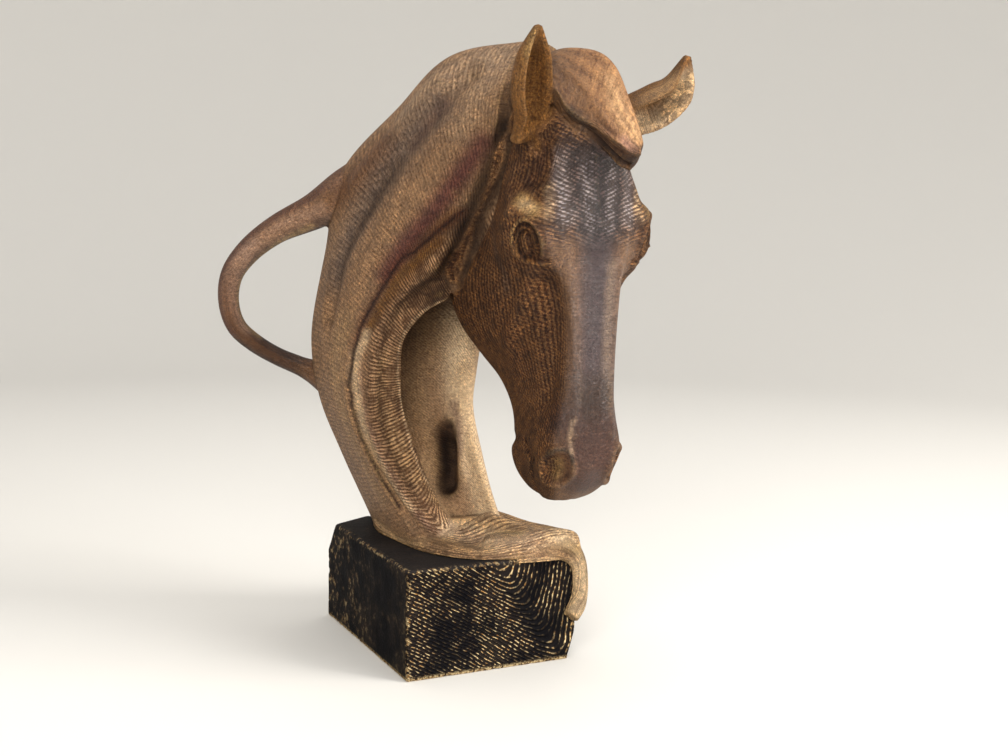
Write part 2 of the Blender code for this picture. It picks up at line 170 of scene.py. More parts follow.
floor.data.materials.append(shader_of("pale_floor", (0.66, 0.64, 0.60), 0.8)[0])
MIDDLE = (0.0, -0.02, 0.15)
soft_lamp("key_right", (0.95, -0.85, 0.95), MIDDLE, 0.6, 19.0, (1.0, 0.97, 0.93))
soft_lamp("window_front", (0.78, -1.25, 0.34), MIDDLE, 0.7, 17.0, (0.95, 0.97, 1.0))
soft_lamp("front_left", (-0.75, -1.15, 0.75), MIDDLE, 0.8, 19.0, (1.0, 0.98, 0.95))
soft_lamp("ceiling", (0.05, 0.1, 1.6), MIDDLE, 1.0, 12.0, (1.0, 0.98, 0.95))
world = bpy.data.worlds.new("studio")
bpy.context.scene.world = world
world.use_nodes = True
sky = world.node_tree.nodes["Background"]
sky.inputs["Color"].default_value = (0.93, 0.95, 1.0, 1.0)
sky.inputs["Strength"].default_value = 0.42
bpy.context.scene.view_settings.view_transform = "Standard"

# %% [markdown]
# ## Lines first, then skin
#
# A carver draws the lines of a neck before cutting: the crest, the flank, the rim. Here each
# line is a few points in millimetres. A Catmull-Rom curve runs through them, and a skin is
# stretched from line to line by the same curve the other way. Every point of the skin keeps its
# own address: which line it is near, and how far along. Grain and paint use it later on.

# %% Curves through points
def spline(points, steps, closed=False):
    """Centripetal Catmull-Rom curves along axis 0, for all the lines of axis 1 at once.

    Between b and c, with a before and d after, the curve is the cubic that starts at b and ends
    at c, with slopes taken from the three gaps, each timed by the square root of its length."""
    points = np.asarray(points, float)
    if closed:
        padded = np.concatenate([points[-1:], points, points[:2]])
    else:
        padded = np.concatenate([2 * points[:1] - points[1:2], points, 2 * points[-1:] - points[-2:-1]])
    gaps = np.sqrt(np.maximum(np.linalg.norm(np.diff(padded, axis=0), axis=-1), 1e-6))[..., None]
    a, b, c, d = padded[:-3], padded[1:-2], padded[2:-1], padded[3:]
    before, here, after = gaps[:-2], gaps[1:-1], gaps[2:]
    start = here * ((b - a) / before - (c - a) / (before + here) + (c - b) / here)
    end = here * ((c - b) / here - (d - b) / (here + after) + (d - c) / after)
    t = (np.arange(steps) / steps).reshape(1, -1, 1, 1)
    b, c, start, end = b[:, None], c[:, None], start[:, None], end[:, None]
    curve = (
        (2 * t ** 3 - 3 * t ** 2 + 1) * b
        + (t ** 3 - 2 * t ** 2 + t) * start
        + (3 * t ** 2 - 2 * t ** 3) * c
        + (t ** 3 - t ** 2) * end
    )
    curve = curve.reshape(-1, *points.shape[1:])
    return curve if closed else np.concatenate([curve, points[-1:]])


def polyline(points, steps=6):
    """One smooth line through a few points, as an array of rows."""
    return spline(np.asarray(points, float)[:, None], steps)[:, 0]


print("curve test", spline([[(0, 0, 0)], [(1, 0, 0)], [(2, 1, 0)]], 4).shape)

# %% Skins with addresses
skins = {"points": [], "faces": [], "address": []}
skin_lengths = []


def stretch_skin(rings, along, around, kind):
    """A closed skin through rings[i][j], point j of ring i, with finer steps both ways.

    The seam is doubled, so that the address can run from 0 to the number of guides without
    jumping back. Two flat caps close the ends. The address is (guide, station, kind)."""
    rows = spline(rings, along)
    columns = spline(rows.swapaxes(0, 1), around, closed=True)
    grid = np.concatenate([columns, columns[:1]])
    guide = np.arange(grid.shape[0]) / around
    station = np.arange(grid.shape[1]) / along
    address = np.stack(np.broadcast_arrays(guide[:, None], station[None], float(kind)), axis=-1)
    first = sum(len(block) for block in skins["points"])
    numbers = first + np.arange(grid.shape[0] * grid.shape[1]).reshape(grid.shape[:2])
    girth = np.linalg.norm(np.diff(grid, axis=0), axis=-1).mean(axis=1)
    length = np.linalg.norm(np.diff(grid, axis=1), axis=-1).mean(axis=0)
    skin_lengths.append((np.append(0, np.cumsum(girth)), np.append(0, np.cumsum(length)), around, along))
    skins["points"].append(grid.reshape(-1, 3) * MM)
    skins["address"].append(address.reshape(-1, 3))
    skins["faces"] += (first + grid_faces(*grid.shape[:2])).tolist()
    skins["faces"] += [numbers[:-1, 0].tolist(), numbers[:-1, -1].tolist()]
    return grid


print("skins so far", len(skins["points"]))

# %% [markdown]
# ## The head
#
# The skull is a stack of half sections, mirrored. A horse's face is long and flat in front: the
# forehead and the bridge of the nose are one plane, the brow stands out at the side, and the
# cheek is a round disc that ends in the throat.

# %% Head sections
HEAD_X = 27.0
FACE_Y = -100.0
HEAD_GUIDES = 12
HEAD, NECK, FOOT, BRANCH_SKIN, LIP_SKIN, FORELOCK, EAR = range(7)
# Height, then pairs of (out from the middle, back from the face) in the order
# forehead, bridge edge, brow, eye corner, cheek, jaw, throat
HEAD_LEVELS = [
    (283, [(0, 24), (7, 25), (11, 30), (12, 38), (11, 46), (8, 52), (0, 56)]),
    (270, [(0, 10), (9, 12), (16, 20), (19, 32), (18, 46), (13, 58), (0, 62)]),
    (252, [(0, 2), (11, 4), (19, 12), (24, 26), (24, 42), (18, 58), (0, 66)]),
    (233, [(0, 0), (12, 2), (19, 8), (26, 24), (27, 40), (20, 62), (0, 70)]),
    (218, [(0, -1), (13, 1), (26, 8), (32, 20), (28, 44), (25, 68), (0, 78)]),
    (207, [(0, -1), (14, 1), (29, 7), (36, 17), (29, 46), (27, 82), (0, 88)]),
    (197, [(0, 0), (13, 1), (26, 8), (34, 18), (29, 50), (26, 92), (0, 92)]),
    (186, [(0, 0), (11, 1), (18, 8), (27, 26), (29, 56), (25, 98), (0, 93)]),
    (172, [(0, 0), (10, 1), (14, 8), (23, 28), (27, 58), (24, 99), (0, 92)]),
    (160, [(0, 0), (9.5, 1), (13, 8), (20, 28), (25, 56), (22, 92), (0, 86)]),
    (147, [(0, 0), (9.5, 1), (13, 8), (17, 26), (20, 48), (19, 75), (0, 73)]),
    (136, [(0, 0), (10, 1), (13.5, 8), (15.5, 24), (17, 42), (15.5, 61), (0, 62)]),
    (124, [(0, 0), (12, 2), (15.5, 8), (16, 22), (16, 36), (14.5, 51), (0, 54)]),
    (113, [(0, -1), (13, 2), (18, 8), (18, 20), (16.5, 33), (14.5, 48), (0, 52)]),
    (103, [(0, -1), (13, 2), (18, 8), (18, 20), (16, 33), (14.5, 50), (0, 53)]),
    (95, [(0, 5), (11, 7), (15, 12), (15.5, 21), (14.5, 32), (13.5, 46), (0, 49)]),
    (88, [(0, 14), (8, 15), (11, 18), (12, 24), (11.5, 31), (10, 40), (0, 43)]),
    (84, [(0, 22), (5, 23), (7, 25), (8, 28), (7, 32), (5, 35), (0, 36)]),
]


def head_rings():
    """Each half section and its mirror image, as one ring at its height."""
    rings = []
    for height, half in HEAD_LEVELS:
        near = [(HEAD_X - out, FACE_Y + back, height) for out, back in half]
        far = [(HEAD_X + out, FACE_Y + back, height) for out, back in half[-2:0:-1]]
        rings.append(near + far)
    return rings


stretch_skin(head_rings(), 10, 8, HEAD)
print("head skin from", len(HEAD_LEVELS), "sections")

# %% [markdown]
# ## The neck
#
# The neck is a thick shaving that curls round a hollow. Ten lines run down it from the poll to
# the foot: over the crest, along the flank to the rim, round the lip into the ribbed band, down
# into the hollow, across the web with its knothole, and back round the far side.

# %% Neck lines
NECK_LINES = {
    "crest": [(13, -62, 290), (-14, -33, 284), (-28, -8, 263), (-45, 28, 231), (-45, 45, 194),
              (-53, 47, 150), (-49, 46, 120), (-36, 48, 90), (-16, 52, 50), (-14, 52, 44)],
    "flank": [(-3, -64, 268), (-25, -42, 255), (-36, -24, 240), (-47, 2, 216), (-53, 18, 188),
              (-56, 24, 150), (-53, 23, 122), (-43, 22, 94), (-24, 16, 50), (-21, 14, 44)],
    "rim": [(-2, -60, 241), (-17, -44, 223), (-27, -31, 210), (-35, -21, 193), (-45, -10, 172),
            (-51, -2, 145), (-50, -1, 121), (-43, -5, 99), (-25, -22, 62), (-12, -38, 50)],
    "lip": [(8, -48, 222), (-10, -34, 204), (-20, -25, 192), (-27, -17, 182), (-36, -7, 165),
            (-40, 0, 136), (-39, 1, 117), (-36, -3, 98), (-18, -14, 64), (-5, -31, 50)],
    "edge": [(20, -38, 205), (2, -20, 184), (-5, -12, 173), (-13, -3, 166), (-20, 8, 151),
             (-20, 12, 131), (-19, 12, 118), (-14, 8, 98), (-3, -6, 66), (8, -22, 50)],
    "hollow": [(26, -30, 205), (8, -6, 190), (2, 6, 182), (-5, 20, 170), (-12, 31, 153),
               (-13, 33, 132), (-12, 32, 115), (-8, 24, 95), (3, 4, 64), (14, -12, 50)],
    "web": [(38, -42, 208), (26, -14, 190), (22, -1, 182), (17, 9, 170), (8, 20, 152),
            (5, 22, 132), (5, 19, 115), (8, 12, 94), (14, -6, 60), (21, -20, 50)],
    "web_edge": [(45, -48, 215), (38, -22, 200), (33, -9, 188), (27, 0, 172), (22, 10, 150),
                 (19, 11, 126), (17, 8, 113), (18, -1, 91), (25, -18, 58), (31, -28, 50)],
    "far_side": [(49, -58, 245), (46, -36, 232), (42, -12, 218), (37, 8, 198), (31, 22, 172),
                 (26, 29, 145), (24, 30, 122), (28, 28, 95), (34, 24, 50), (36, 22, 44)],
    "back": [(34, -62, 280), (20, -30, 272), (8, 0, 254), (-2, 36, 225), (-2, 50, 192),
             (-12, 56, 150), (-12, 56, 122), (-4, 57, 90), (12, 54, 48), (14, 54, 42)],
}
stretch_skin(list(zip(*NECK_LINES.values())), 16, 10, NECK)
print("neck skin from", len(NECK_LINES), "lines")

# %% [markdown]
# ## Branch, foot and hanging lip
#
# The branch is a pipe whose radius changes along its path, wide at both roots. The foot is a pad
# that follows an outline on the block, with a ridge along its edge that sinks a little inside.
# At the front right corner it runs on as a lip that hangs over the block.

# %% Rings along a path
def unit(rows):
    """Rows scaled to length one."""
    return rows / np.linalg.norm(rows, axis=-1, keepdims=True)


def steady_frames(path, first_side):
    """Tangent, side and lift at each point; the side is carried along and turns as little as it can."""
    tangents = unit(np.gradient(path, axis=0))
    side = np.asarray(first_side, float)
    sides = []
    for tangent in tangents:
        side = side - tangent * (side @ tangent)
        side = side / np.linalg.norm(side)
        sides.append(side)
    sides = np.array(sides)
    return tangents, sides, np.cross(tangents, sides)


def pipe_rings(path, widths, heights, sides, lifts, corners=24):
    """Ring point = centre + side * width * cos(turn) + lift * height * sin(turn)."""
    turn = np.linspace(0.0, 2 * np.pi, corners, endpoint=False)[None, :, None]
    across = sides[:, None] * widths[:, None, None] * np.cos(turn)
    upward = lifts[:, None] * heights[:, None, None] * np.sin(turn)
    return path[:, None] + across + upward


print("a row scaled to length one", unit(np.array([3.0, 4.0])))

# %% Branch and hanging lip: places and radii in millimetres
BRANCH = [
    ((-26, 10, 236), 12.0), ((-42, 26, 223), 11.5), ((-55, 38, 213), 9.0), ((-72, 50, 203), 7.0),
    ((-84, 57, 192), 6.2), ((-91, 62, 180), 5.6), ((-92, 64, 166), 5.2), ((-88, 64, 154), 5.0),
    ((-80, 61, 146), 4.8), ((-69, 57, 139), 4.6), ((-58, 52, 134), 5.0), ((-48, 46, 129), 7.5),
    ((-40, 40, 122), 9.0),
]
HANGING_LIP = [
    ((12, -30, 52), 18, 5), ((28, -42, 54), 18, 6), ((40, -47, 55.5), 16, 6.8),
    ((47.5, -49, 48.5), 12.5, 5.6), ((49.3, -51, 38), 9.5, 5), ((47.5, -54, 28), 6.5, 4.6),
    ((42, -57.5, 21), 4, 4),
]
branch_path = polyline([row[0] for row in BRANCH], 5)
branch_radius = polyline([(row[1], 0, 0) for row in BRANCH], 5)[:, 0]
_, branch_sides, branch_lifts = steady_frames(branch_path, (0.6, -0.8, 0.0))
branch_rings = pipe_rings(branch_path, branch_radius, branch_radius, branch_sides, branch_lifts)
stretch_skin(branch_rings, 2, 1, BRANCH_SKIN)

LIP_UP = np.array((0.75, -0.25, 0.6))
lip_path = polyline([row[0] for row in HANGING_LIP], 5)
lip_size = polyline([(row[1], row[2], 0) for row in HANGING_LIP], 5)
lip_sides = unit(np.cross(unit(np.gradient(lip_path, axis=0)), LIP_UP))
lip_lifts = np.cross(lip_sides, unit(np.gradient(lip_path, axis=0)))
stretch_skin(pipe_rings(lip_path, lip_size[:, 0], lip_size[:, 1], lip_sides, lip_lifts), 2, 1, LIP_SKIN)
print("branch and lip rings", len(branch_rings), len(lip_path))

# %% Foot
FOOT_OUTLINE = [
    (-16, 52, 60), (-24, 36, 60), (-28, 17, 58), (-26, -4, 57), (-23, -24, 58), (-14, -41, 57),
    (-3, -50, 56), (15, -57, 60), (34, -60, 64), (47, -57, 62), (48, -40, 60), (44, -14, 58),
    (42, 16, 57), (36, 42, 57), (14, 54, 60),
]
FOOT_ROOT = np.array((4.0, 10.0))


def foot_rings():
    """Rings of the pad: the outline at its foot, its ridge, and two inner rings nearer the root."""
    outline = np.array(FOOT_OUTLINE, float)
    rings = []
    for inset, rise in ((0.0, None), (0.02, 0.0), (0.30, -1.0), (0.62, 3.0)):
        flat = outline[:, :2] * (1 - inset) + FOOT_ROOT * inset
        height = np.full(len(outline), 50.0) if rise is None else outline[:, 2] + rise
        rings.append(np.column_stack([flat, height]))
    return rings


stretch_skin(foot_rings(), 10, 10, FOOT)
print("foot outline of", len(FOOT_OUTLINE), "points")

# %% [markdown]
# ## Ears and forelock
#
# An ear is a leaf rolled into a cup. Its rings are horseshoes: an outer arc, and back along an
# inner arc one wall thinner, which closes up at the root and at the tip. The forelock is a
# tongue of wood that falls forward from the poll, flat on its left, with a sharp lower edge.

# %% Ears
EARS = {
    "near": {
        "path": [(1, -80, 244), (1, -86, 254), (-3, -93, 265), (-6, -100, 277), (-8, -107, 289)],
        "widths": [6.5, 8.0, 9.2, 7.6, 1.8],
        "opens": (0.12, -0.94, 0.10),
    },
    "far": {
        "path": [(43, -78, 250), (50, -83, 256), (60, -90, 261), (67, -96, 268), (69, -101, 283)],
        "widths": [7.0, 9.5, 10.5, 9.0, 1.8],
        "opens": (0.27, -0.80, -0.41),
    },
}
EAR_WALL = 2.8
EAR_WRAP = math.radians(118)
OUTER_POINTS = 9
INNER_POINTS = 7


def ear_rings(ear):
    """Outer arc of radius w from -wrap to +wrap, then the inner arc of radius w less the wall."""
    path = polyline(ear["path"], 3)
    width = polyline([(w, 0, 0) for w in ear["widths"]], 3)[:, 0]
    tangents = unit(np.gradient(path, axis=0))
    opens = unit(np.array(ear["opens"]))
    front = unit(opens - tangents * (tangents @ opens)[:, None])
    side = np.cross(tangents, front)
    along = np.linspace(0.0, 1.0, len(path))
    hollow = np.minimum(1.0, 2.5 * along) * np.minimum(1.0, 4.0 * (1.0 - along))
    inner = width - np.minimum(EAR_WALL, 0.6 * width)
    out_turn = np.linspace(-EAR_WRAP, EAR_WRAP, OUTER_POINTS)
    in_turn = np.linspace(EAR_WRAP - math.radians(10), math.radians(10) - EAR_WRAP, INNER_POINTS)
    bed = math.cos(EAR_WRAP)
    depth = np.cos(in_turn) * hollow[:, None] + bed * (1.0 - hollow[:, None])
    outer_across = width[:, None] * np.sin(out_turn)
    outer_back = width[:, None] * np.cos(out_turn)
    inner_across = inner[:, None] * np.sin(in_turn)
    inner_back = inner[:, None] * depth
    across = np.concatenate([outer_across, inner_across], axis=1)[..., None]
    back = np.concatenate([outer_back, inner_back], axis=1)[..., None]
    return path[:, None] + side[:, None] * across - front[:, None] * back


for offset, ear in enumerate(EARS.values()):
    stretch_skin(ear_rings(ear), 4, 6, EAR + offset)
print("ears", list(EARS))

# %% Forelock
FORELOCK_LINES = {
    "crown": [(20, -56, 280), (20, -78, 285), (29, -92, 283), (33, -100, 276.5), (37, -106, 262),
              (40, -110, 250), (41.5, -111, 243.5)],
    "facet": [(12, -56, 276), (10, -87, 279), (20, -98, 270), (25, -104, 263), (30, -109, 254),
              (35, -112.5, 246), (39, -112.5, 241.5)],
    "left_top": [(8, -58, 270), (5, -91, 269.5), (12, -101, 255.5), (21, -106.5, 251.5),
                 (27, -110.5, 245), (33, -113, 241), (38.5, -112.5, 239.8)],
    "left_lip": [(8, -58, 269), (5, -90, 268), (12, -100, 254), (21, -105.5, 250), (27, -109.5, 243.5),
                 (33, -112, 239.5), (38.5, -111.5, 238.5)],
    "left_under": [(10, -58, 266), (10, -86, 262), (14, -97, 251), (23, -98, 246), (29, -101, 240.5),
                   (34, -103, 234.5), (38.5, -105, 232)],
    "under": [(22, -56, 264), (22, -80, 262), (26, -90, 256), (30, -94, 248), (34, -98, 242),
              (37, -101, 236), (40, -104, 233)],
    "right_under": [(33, -58, 266), (34, -74, 264), (36, -84, 260), (38, -92, 252), (41, -98, 244),
                    (42, -102, 238), (41.5, -105, 234)],
    "right": [(33, -58, 276), (33, -76, 278), (34, -82, 275), (37, -90, 266), (41, -97, 254),
              (43, -103, 245), (42.5, -107, 239)],
}
stretch_skin(list(zip(*FORELOCK_LINES.values())), 8, 8, FORELOCK)
print("forelock from", len(FORELOCK_LINES), "lines")

# %% [markdown]
# ## Fusing the skins
#
# The skins overlap, as clay rolls do before they are pressed together. A voxel remesh keeps only
# the outside of the heap, and a little smoothing runs the joints into each other. The new points
# have lost their addresses, so each looks up the nearest spot on the old skins and copies it.

# %% Arrays in and out of a mesh
def read_vectors(mesh, name):
    """A vector attribute as an array of rows."""
    rows = np.empty(len(mesh.vertices) * 3)
    mesh.attributes[name].data.foreach_get("vector", rows)
    return rows.reshape(-1, 3)


def read_points(mesh, field="co"):
    """Places or normals of all points, as rows."""
    rows = np.empty(len(mesh.vertices) * 3)
    mesh.vertices.foreach_get(field, rows)
    return rows.reshape(-1, 3)


def place_points(mesh, rows):
    """Move all points to new places."""
    mesh.vertices.foreach_set("co", np.ravel(rows))
    mesh.update()


def store_vectors(mesh, name, rows):
    """Save rows of three numbers on the points."""
    mesh.attributes.new(name, "FLOAT_VECTOR", "POINT").data.foreach_set("vector", np.ravel(rows))


print("the floor spans", np.ptp(read_points(floor.data), axis=0).round(2), "m")

# %% Fuse
VOXEL = 0.7
RELAX_ROUNDS = 5


def evaluated_mesh(item):
    """The object's mesh with its modifiers applied."""
    bpy.context.view_layer.update()
    shown = item.evaluated_get(bpy.context.evaluated_depsgraph_get())
    return bpy.data.meshes.new_from_object(shown)


def settle(item):
    """Apply all modifiers for good."""
    mesh = evaluated_mesh(item)
    item.modifiers.clear()
    item.data = mesh


heap = add_object("skins", np.concatenate(skins["points"]), skins["faces"])
store_vectors(heap.data, "address", np.concatenate(skins["address"]))
figure = add_to_scene("driftwood_horse", heap.data.copy())
remesh = figure.modifiers.new("fuse", "REMESH")
remesh.mode = "VOXEL"
remesh.voxel_size = VOXEL * MM
relax = figure.modifiers.new("relax", "SMOOTH")
relax.factor = 0.5
relax.iterations = RELAX_ROUNDS
settle(figure)
print("fused", len(figure.data.vertices), "points")

# %% Look up the addresses
def carry_address(item, source):
    """Each point of item copies the address of the nearest spot on source's faces."""
    tree = bpy.data.node_groups.new("carry_address", "GeometryNodeTree")
    tree.interface.new_socket("Geometry", in_out="INPUT", socket_type="NodeSocketGeometry")
    tree.interface.new_socket("Geometry", in_out="OUTPUT", socket_type="NodeSocketGeometry")
    entry = tree.nodes.new("NodeGroupInput")
    leave = tree.nodes.new("NodeGroupOutput")
    other = tree.nodes.new("GeometryNodeObjectInfo")
    other.inputs["Object"].default_value = source
    named = tree.nodes.new("GeometryNodeInputNamedAttribute")
    named.data_type = "FLOAT_VECTOR"
    named.inputs["Name"].default_value = "address"
    nearest = tree.nodes.new("GeometryNodeSampleNearestSurface")
    nearest.data_type = "FLOAT_VECTOR"
    store = tree.nodes.new("GeometryNodeStoreNamedAttribute")
    store.data_type = "FLOAT_VECTOR"
    store.domain = "POINT"
    store.inputs["Name"].default_value = "address"
    tree.links.new(other.outputs["Geometry"], nearest.inputs["Mesh"])
    tree.links.new(named.outputs["Attribute"], nearest.inputs["Value"])
    tree.links.new(entry.outputs[0], store.inputs["Geometry"])
    tree.links.new(nearest.outputs["Value"], store.inputs["Value"])
    tree.links.new(store.outputs["Geometry"], leave.inputs[0])
    item.modifiers.new("carry", "NODES").node_group = tree
    settle(item)
    bpy.data.node_groups.remove(tree)


carry_address(figure, heap)
address = read_vectors(figure.data, "address")
for kind in range(len(skin_lengths)):
    print("skin", kind, "has", int((np.rint(address[:, 2]) == kind).sum()), "points")

# %% [markdown]
# ## Gouge strokes
#
# Valleys, lids, nostrils and creases are cut or raised along lines that lie on the surface. A
# stroke moves each point along its normal. The move is full on the line and fades to nothing at
# the stroke's reach, softly for a gouge and straight for a knife. The broad strokes come first,
# and the fine ones are cut into what they leave. The head's strokes are made on both cheeks.

# %% Broad strokes: points in millimetres, reach to each side, depth, and the tool
BROAD_NECK = {
    "branch valley": ([(-12, -50, 274), (-24, -42, 260), (-35.2, -22.6, 236.8), (-38.9, -12.2, 225),
                       (-42.9, -1.7, 211.9), (-46.8, 6.8, 198.5), (-50, 12, 185.9), (-53.5, 14, 174.3),
                       (-55.5, 18, 160)], 9, 3.4, "gouge"),
    "valley lip": ([(-28, -31, 237), (-32.5, -25, 225), (-37, -19.5, 212), (-41.3, -12.5, 199),
                    (-45, -7.5, 186.5), (-48.4, -3, 175)], 6, -1.4, "gouge"),
    "branch strand": ([(-22, -38, 271), (-39, -14, 243), (-46, 4, 226)], 9, -2, "gouge"),
    "cheek crease": ([(0, -60, 246), (-1, -52, 224), (-1, -45, 212), (-3, -34, 201),
                      (-7, -26, 190), (-6, -18, 180)], 9, 5, "gouge"),
    "rim ridge": ([(-17, -44, 223), (-35, -21, 193), (-47, -7, 163), (-51, -1, 135),
                   (-46, -3, 108), (-33, -13, 79), (-22, -18, 66)], 5, -1.5, "gouge"),
    "band groove": ([(-6, -24, 190), (-15, -15, 178), (-25, -6, 167), (-30, 3, 150), (-30, 6, 131),
                     (-29, 5, 115), (-25, 2, 98), (-17, -4, 82)], 8, 3, "gouge"),
    "knothole slope": ([(3, 17, 98), (2, 14, 86), (2.5, 10.5, 77)], 9, 2.5, "gouge"),
    "knothole top": ([(8, 15, 104), (7.2, 13.5, 96), (6.6, 12, 89)], 6, 6, "gouge"),
    "knothole": ([(7, 13, 94), (6.4, 11, 86), (5.8, 9.8, 81), (5.2, 8.5, 77)], 7, 9, "gouge"),
}
BROAD_HEAD = {
    "temple hollow": ([(4.5, -84, 240), (3, -82.5, 234), (1.5, -84.5, 228)], 8, 2.8, "gouge"),
    "temple rim": ([(-1, -71, 233), (-3.5, -74, 223), (-6.5, -84, 213)], 4.5, -1.3, "gouge"),
    "temple front": ([(10, -92, 243), (8.5, -93.5, 236), (6.5, -94, 228), (4.5, -94.5, 219)], 4.5, -1.1,
                     "gouge"),
    "brow ridge": ([(-7, -80, 210), (-4, -88, 215), (3, -95, 213)], 6, -2, "gouge"),
    "eye socket": ([(-4, -90, 204), (-1, -91, 197)], 8, 2.2, "gouge"),
    "bridge edge": ([(11, -98, 208), (13.5, -99, 198), (16, -99, 182), (17.5, -99, 167),
                     (19, -99.5, 150), (19.5, -100, 135), (18, -100, 118)], 4.5, -1.2, "gouge"),
    "bridge hollow": ([(8, -90, 182), (11, -88, 165), (12, -86, 148), (12, -84, 132)], 9, 2.5, "gouge"),
    "facial crest": ([(2, -88, 190), (2, -78, 178), (4, -68, 166), (7, -58, 154)], 7, -2, "gouge"),
    "nostril bowl": ([(12, -95, 104), (12.5, -94, 100)], 8.5, 6, "gouge"),
    "mouth": ([(15, -70, 88), (12, -71, 95), (10, -73, 102), (11, -66, 110)], 3.5, 2.2, "gouge"),
    "chin groove": ([(12, -54, 109), (19, -51, 108), (27, -50, 107)], 5, 1.6, "gouge"),
}
print("broad strokes", len(BROAD_NECK) + len(BROAD_HEAD))

# %% Lines of the nostril and the eye
NOSTRIL_RING = [(11.5, -96, 111.5), (8.5, -91, 108.5), (8.5, -87, 102.5), (11, -86, 96), (14, -90, 94),
                (17.5, -95, 96.5), (18, -99.5, 102), (17, -99.5, 109), (14.5, -98.5, 111.5),
                (11.5, -96, 111.5)]
# The eye's lines carry its carving and its paint alike
EYEBALL = [(-3.1, -88.5, 203.4), (-2, -88.4, 200.8), (-0.9, -88.2, 198.3)]
LID_GAP = [(-5.3, -87.2, 202), (-4.7, -87.8, 205), (-3.3, -89.7, 206), (-1.9, -90.9, 204.6),
           (-0.2, -91.3, 201.4), (0.9, -90.2, 198), (0.7, -88.6, 195.4), (-1.5, -87.2, 195.2),
           (-4, -86.6, 198), (-5.3, -87.2, 202)]
INNER_LID = [(-5.9, -86.8, 201.5), (-5.5, -87.4, 204.8), (-4.1, -89.2, 207), (-2.4, -91, 206.6),
             (-0.6, -92, 203.6), (0.8, -91.6, 199.8), (1.5, -90.4, 196.2)]
LID_CREASE = [(-6.8, -86.6, 202.5), (-6.6, -87.4, 205.6), (-5.4, -89, 208.2), (-3.4, -90.6, 208.9),
              (-1.3, -92.2, 207.4), (0.2, -93, 204), (1.6, -92.8, 200), (2.2, -91.6, 196.4)]
OUTER_FOLD = [(-7.6, -85.6, 200.5), (-8, -86.6, 205.4), (-6.9, -88.4, 209.2), (-4.3, -90.4, 210.8),
              (-1.3, -92.6, 209.4), (0.9, -94.4, 205.8), (2.8, -94.4, 201), (3.6, -93.2, 196.5)]
LOWER_LID = [(-6.6, -85.6, 200), (-5.2, -85.2, 196.5), (-2.6, -86, 193.6), (0.6, -88.2, 192.4),
             (3.4, -90.6, 192), (5.6, -93.6, 191.8)]
BROW_TOP = [(-3.5, -84.9, 219), (-3, -90.4, 217), (-1.7, -93.6, 215)]
print("the gap between the lids has", len(LID_GAP), "points")

# %% Fine strokes
FINE_HEAD = {
    "eyeball": (EYEBALL, 3.4, -1.9, "gouge"),
    "lid gap": (LID_GAP, 1.2, 1.0, "knife"),
    "inner lid": (INNER_LID, 1.4, -1.1, "gouge"),
    "lid crease": (LID_CREASE, 1.1, 0.9, "knife"),
    "outer fold": (OUTER_FOLD + [(3.2, -91, 193.2)], 1.8, -1.2, "gouge"),
    "lower lid": (LOWER_LID, 1.8, -1.3, "gouge"),
    "tear corner": ([(1.8, -90.2, 194.6), (4, -91.8, 194), (6, -94.2, 193.6)], 1.3, 0.9, "knife"),
    "nostril ring": (NOSTRIL_RING, 2.6, -1.6, "gouge"),
    "nostril groove": ([(7, -88, 111), (6, -85, 104), (8, -82, 97), (12, -84, 91)], 2.6, 0.9, "gouge"),
    "mouth cut": ([(14, -72, 88.5), (12, -72, 95), (10.5, -72, 101), (9, -79, 104.5)], 1.6, 1.0, "knife"),
    "ear roll": ([(10, -95, 257), (9.8, -89.3, 255), (4.2, -84.3, 250.5), (-2.8, -82.1, 245.8),
                  (-5, -74, 243)], 3.5, -1.3, "gouge"),
    "ear crease": ([(7, -90, 254), (2.9, -84.6, 253.7), (-4.5, -89, 254.8)], 2.0, 1.0, "gouge"),
}
ONE_SIDE = {
    "forehead ridge": ([(24.7, -99.6, 238), (25, -100.3, 228), (26, -101, 218.5), (28.4, -101, 209)],
                       2.6, -0.7, "gouge"),
    "forehead groove": ([(21.4, -99.5, 237), (20.6, -100.3, 223), (22.1, -100.8, 209)], 2.4, 0.6, "gouge"),
    "lock edge": ([(5.8, -96.1, 265), (9.9, -99, 258.5), (15.8, -103.4, 253.3), (22.5, -106.5, 248.7),
                   (28.3, -111, 244), (38.6, -111.7, 239.3)], 2.2, -1.3, "knife"),
    "lock undercut": ([(8, -94, 261.5), (12, -97, 255), (17.5, -100, 249), (23.5, -103, 243.8),
                       (29.5, -105, 238.5), (37, -106.5, 234)], 3.2, 2.2, "gouge"),
    "lock ridge": ([(12.1, -94.4, 273.8), (17.2, -98.4, 268.9), (20.1, -103.6, 262), (23.5, -107.4, 255),
                    (28, -110.8, 248)], 3.2, -0.9, "gouge"),
    "lock flat": ([(9, -95, 268), (13, -99, 261), (19, -104, 254), (26, -108.5, 247.5)],
                  4.5, 1.0, "gouge"),
}
FINE_NECK = {
    "rim line": (NECK_LINES["rim"][1:-1], 1.6, 0.5, "knife"),
    "edge bead": (NECK_LINES["edge"][1:-2], 2.2, -0.8, "gouge"),
    "web ridge": ([(15, 12, 114), (14, 11, 104), (13, 8, 92), (11, 3, 82)], 5, -1.4, "gouge"),
}
print("fine strokes", len(FINE_NECK) + len(FINE_HEAD) + len(ONE_SIDE))

# %% Carve
LINE_STEPS = 4


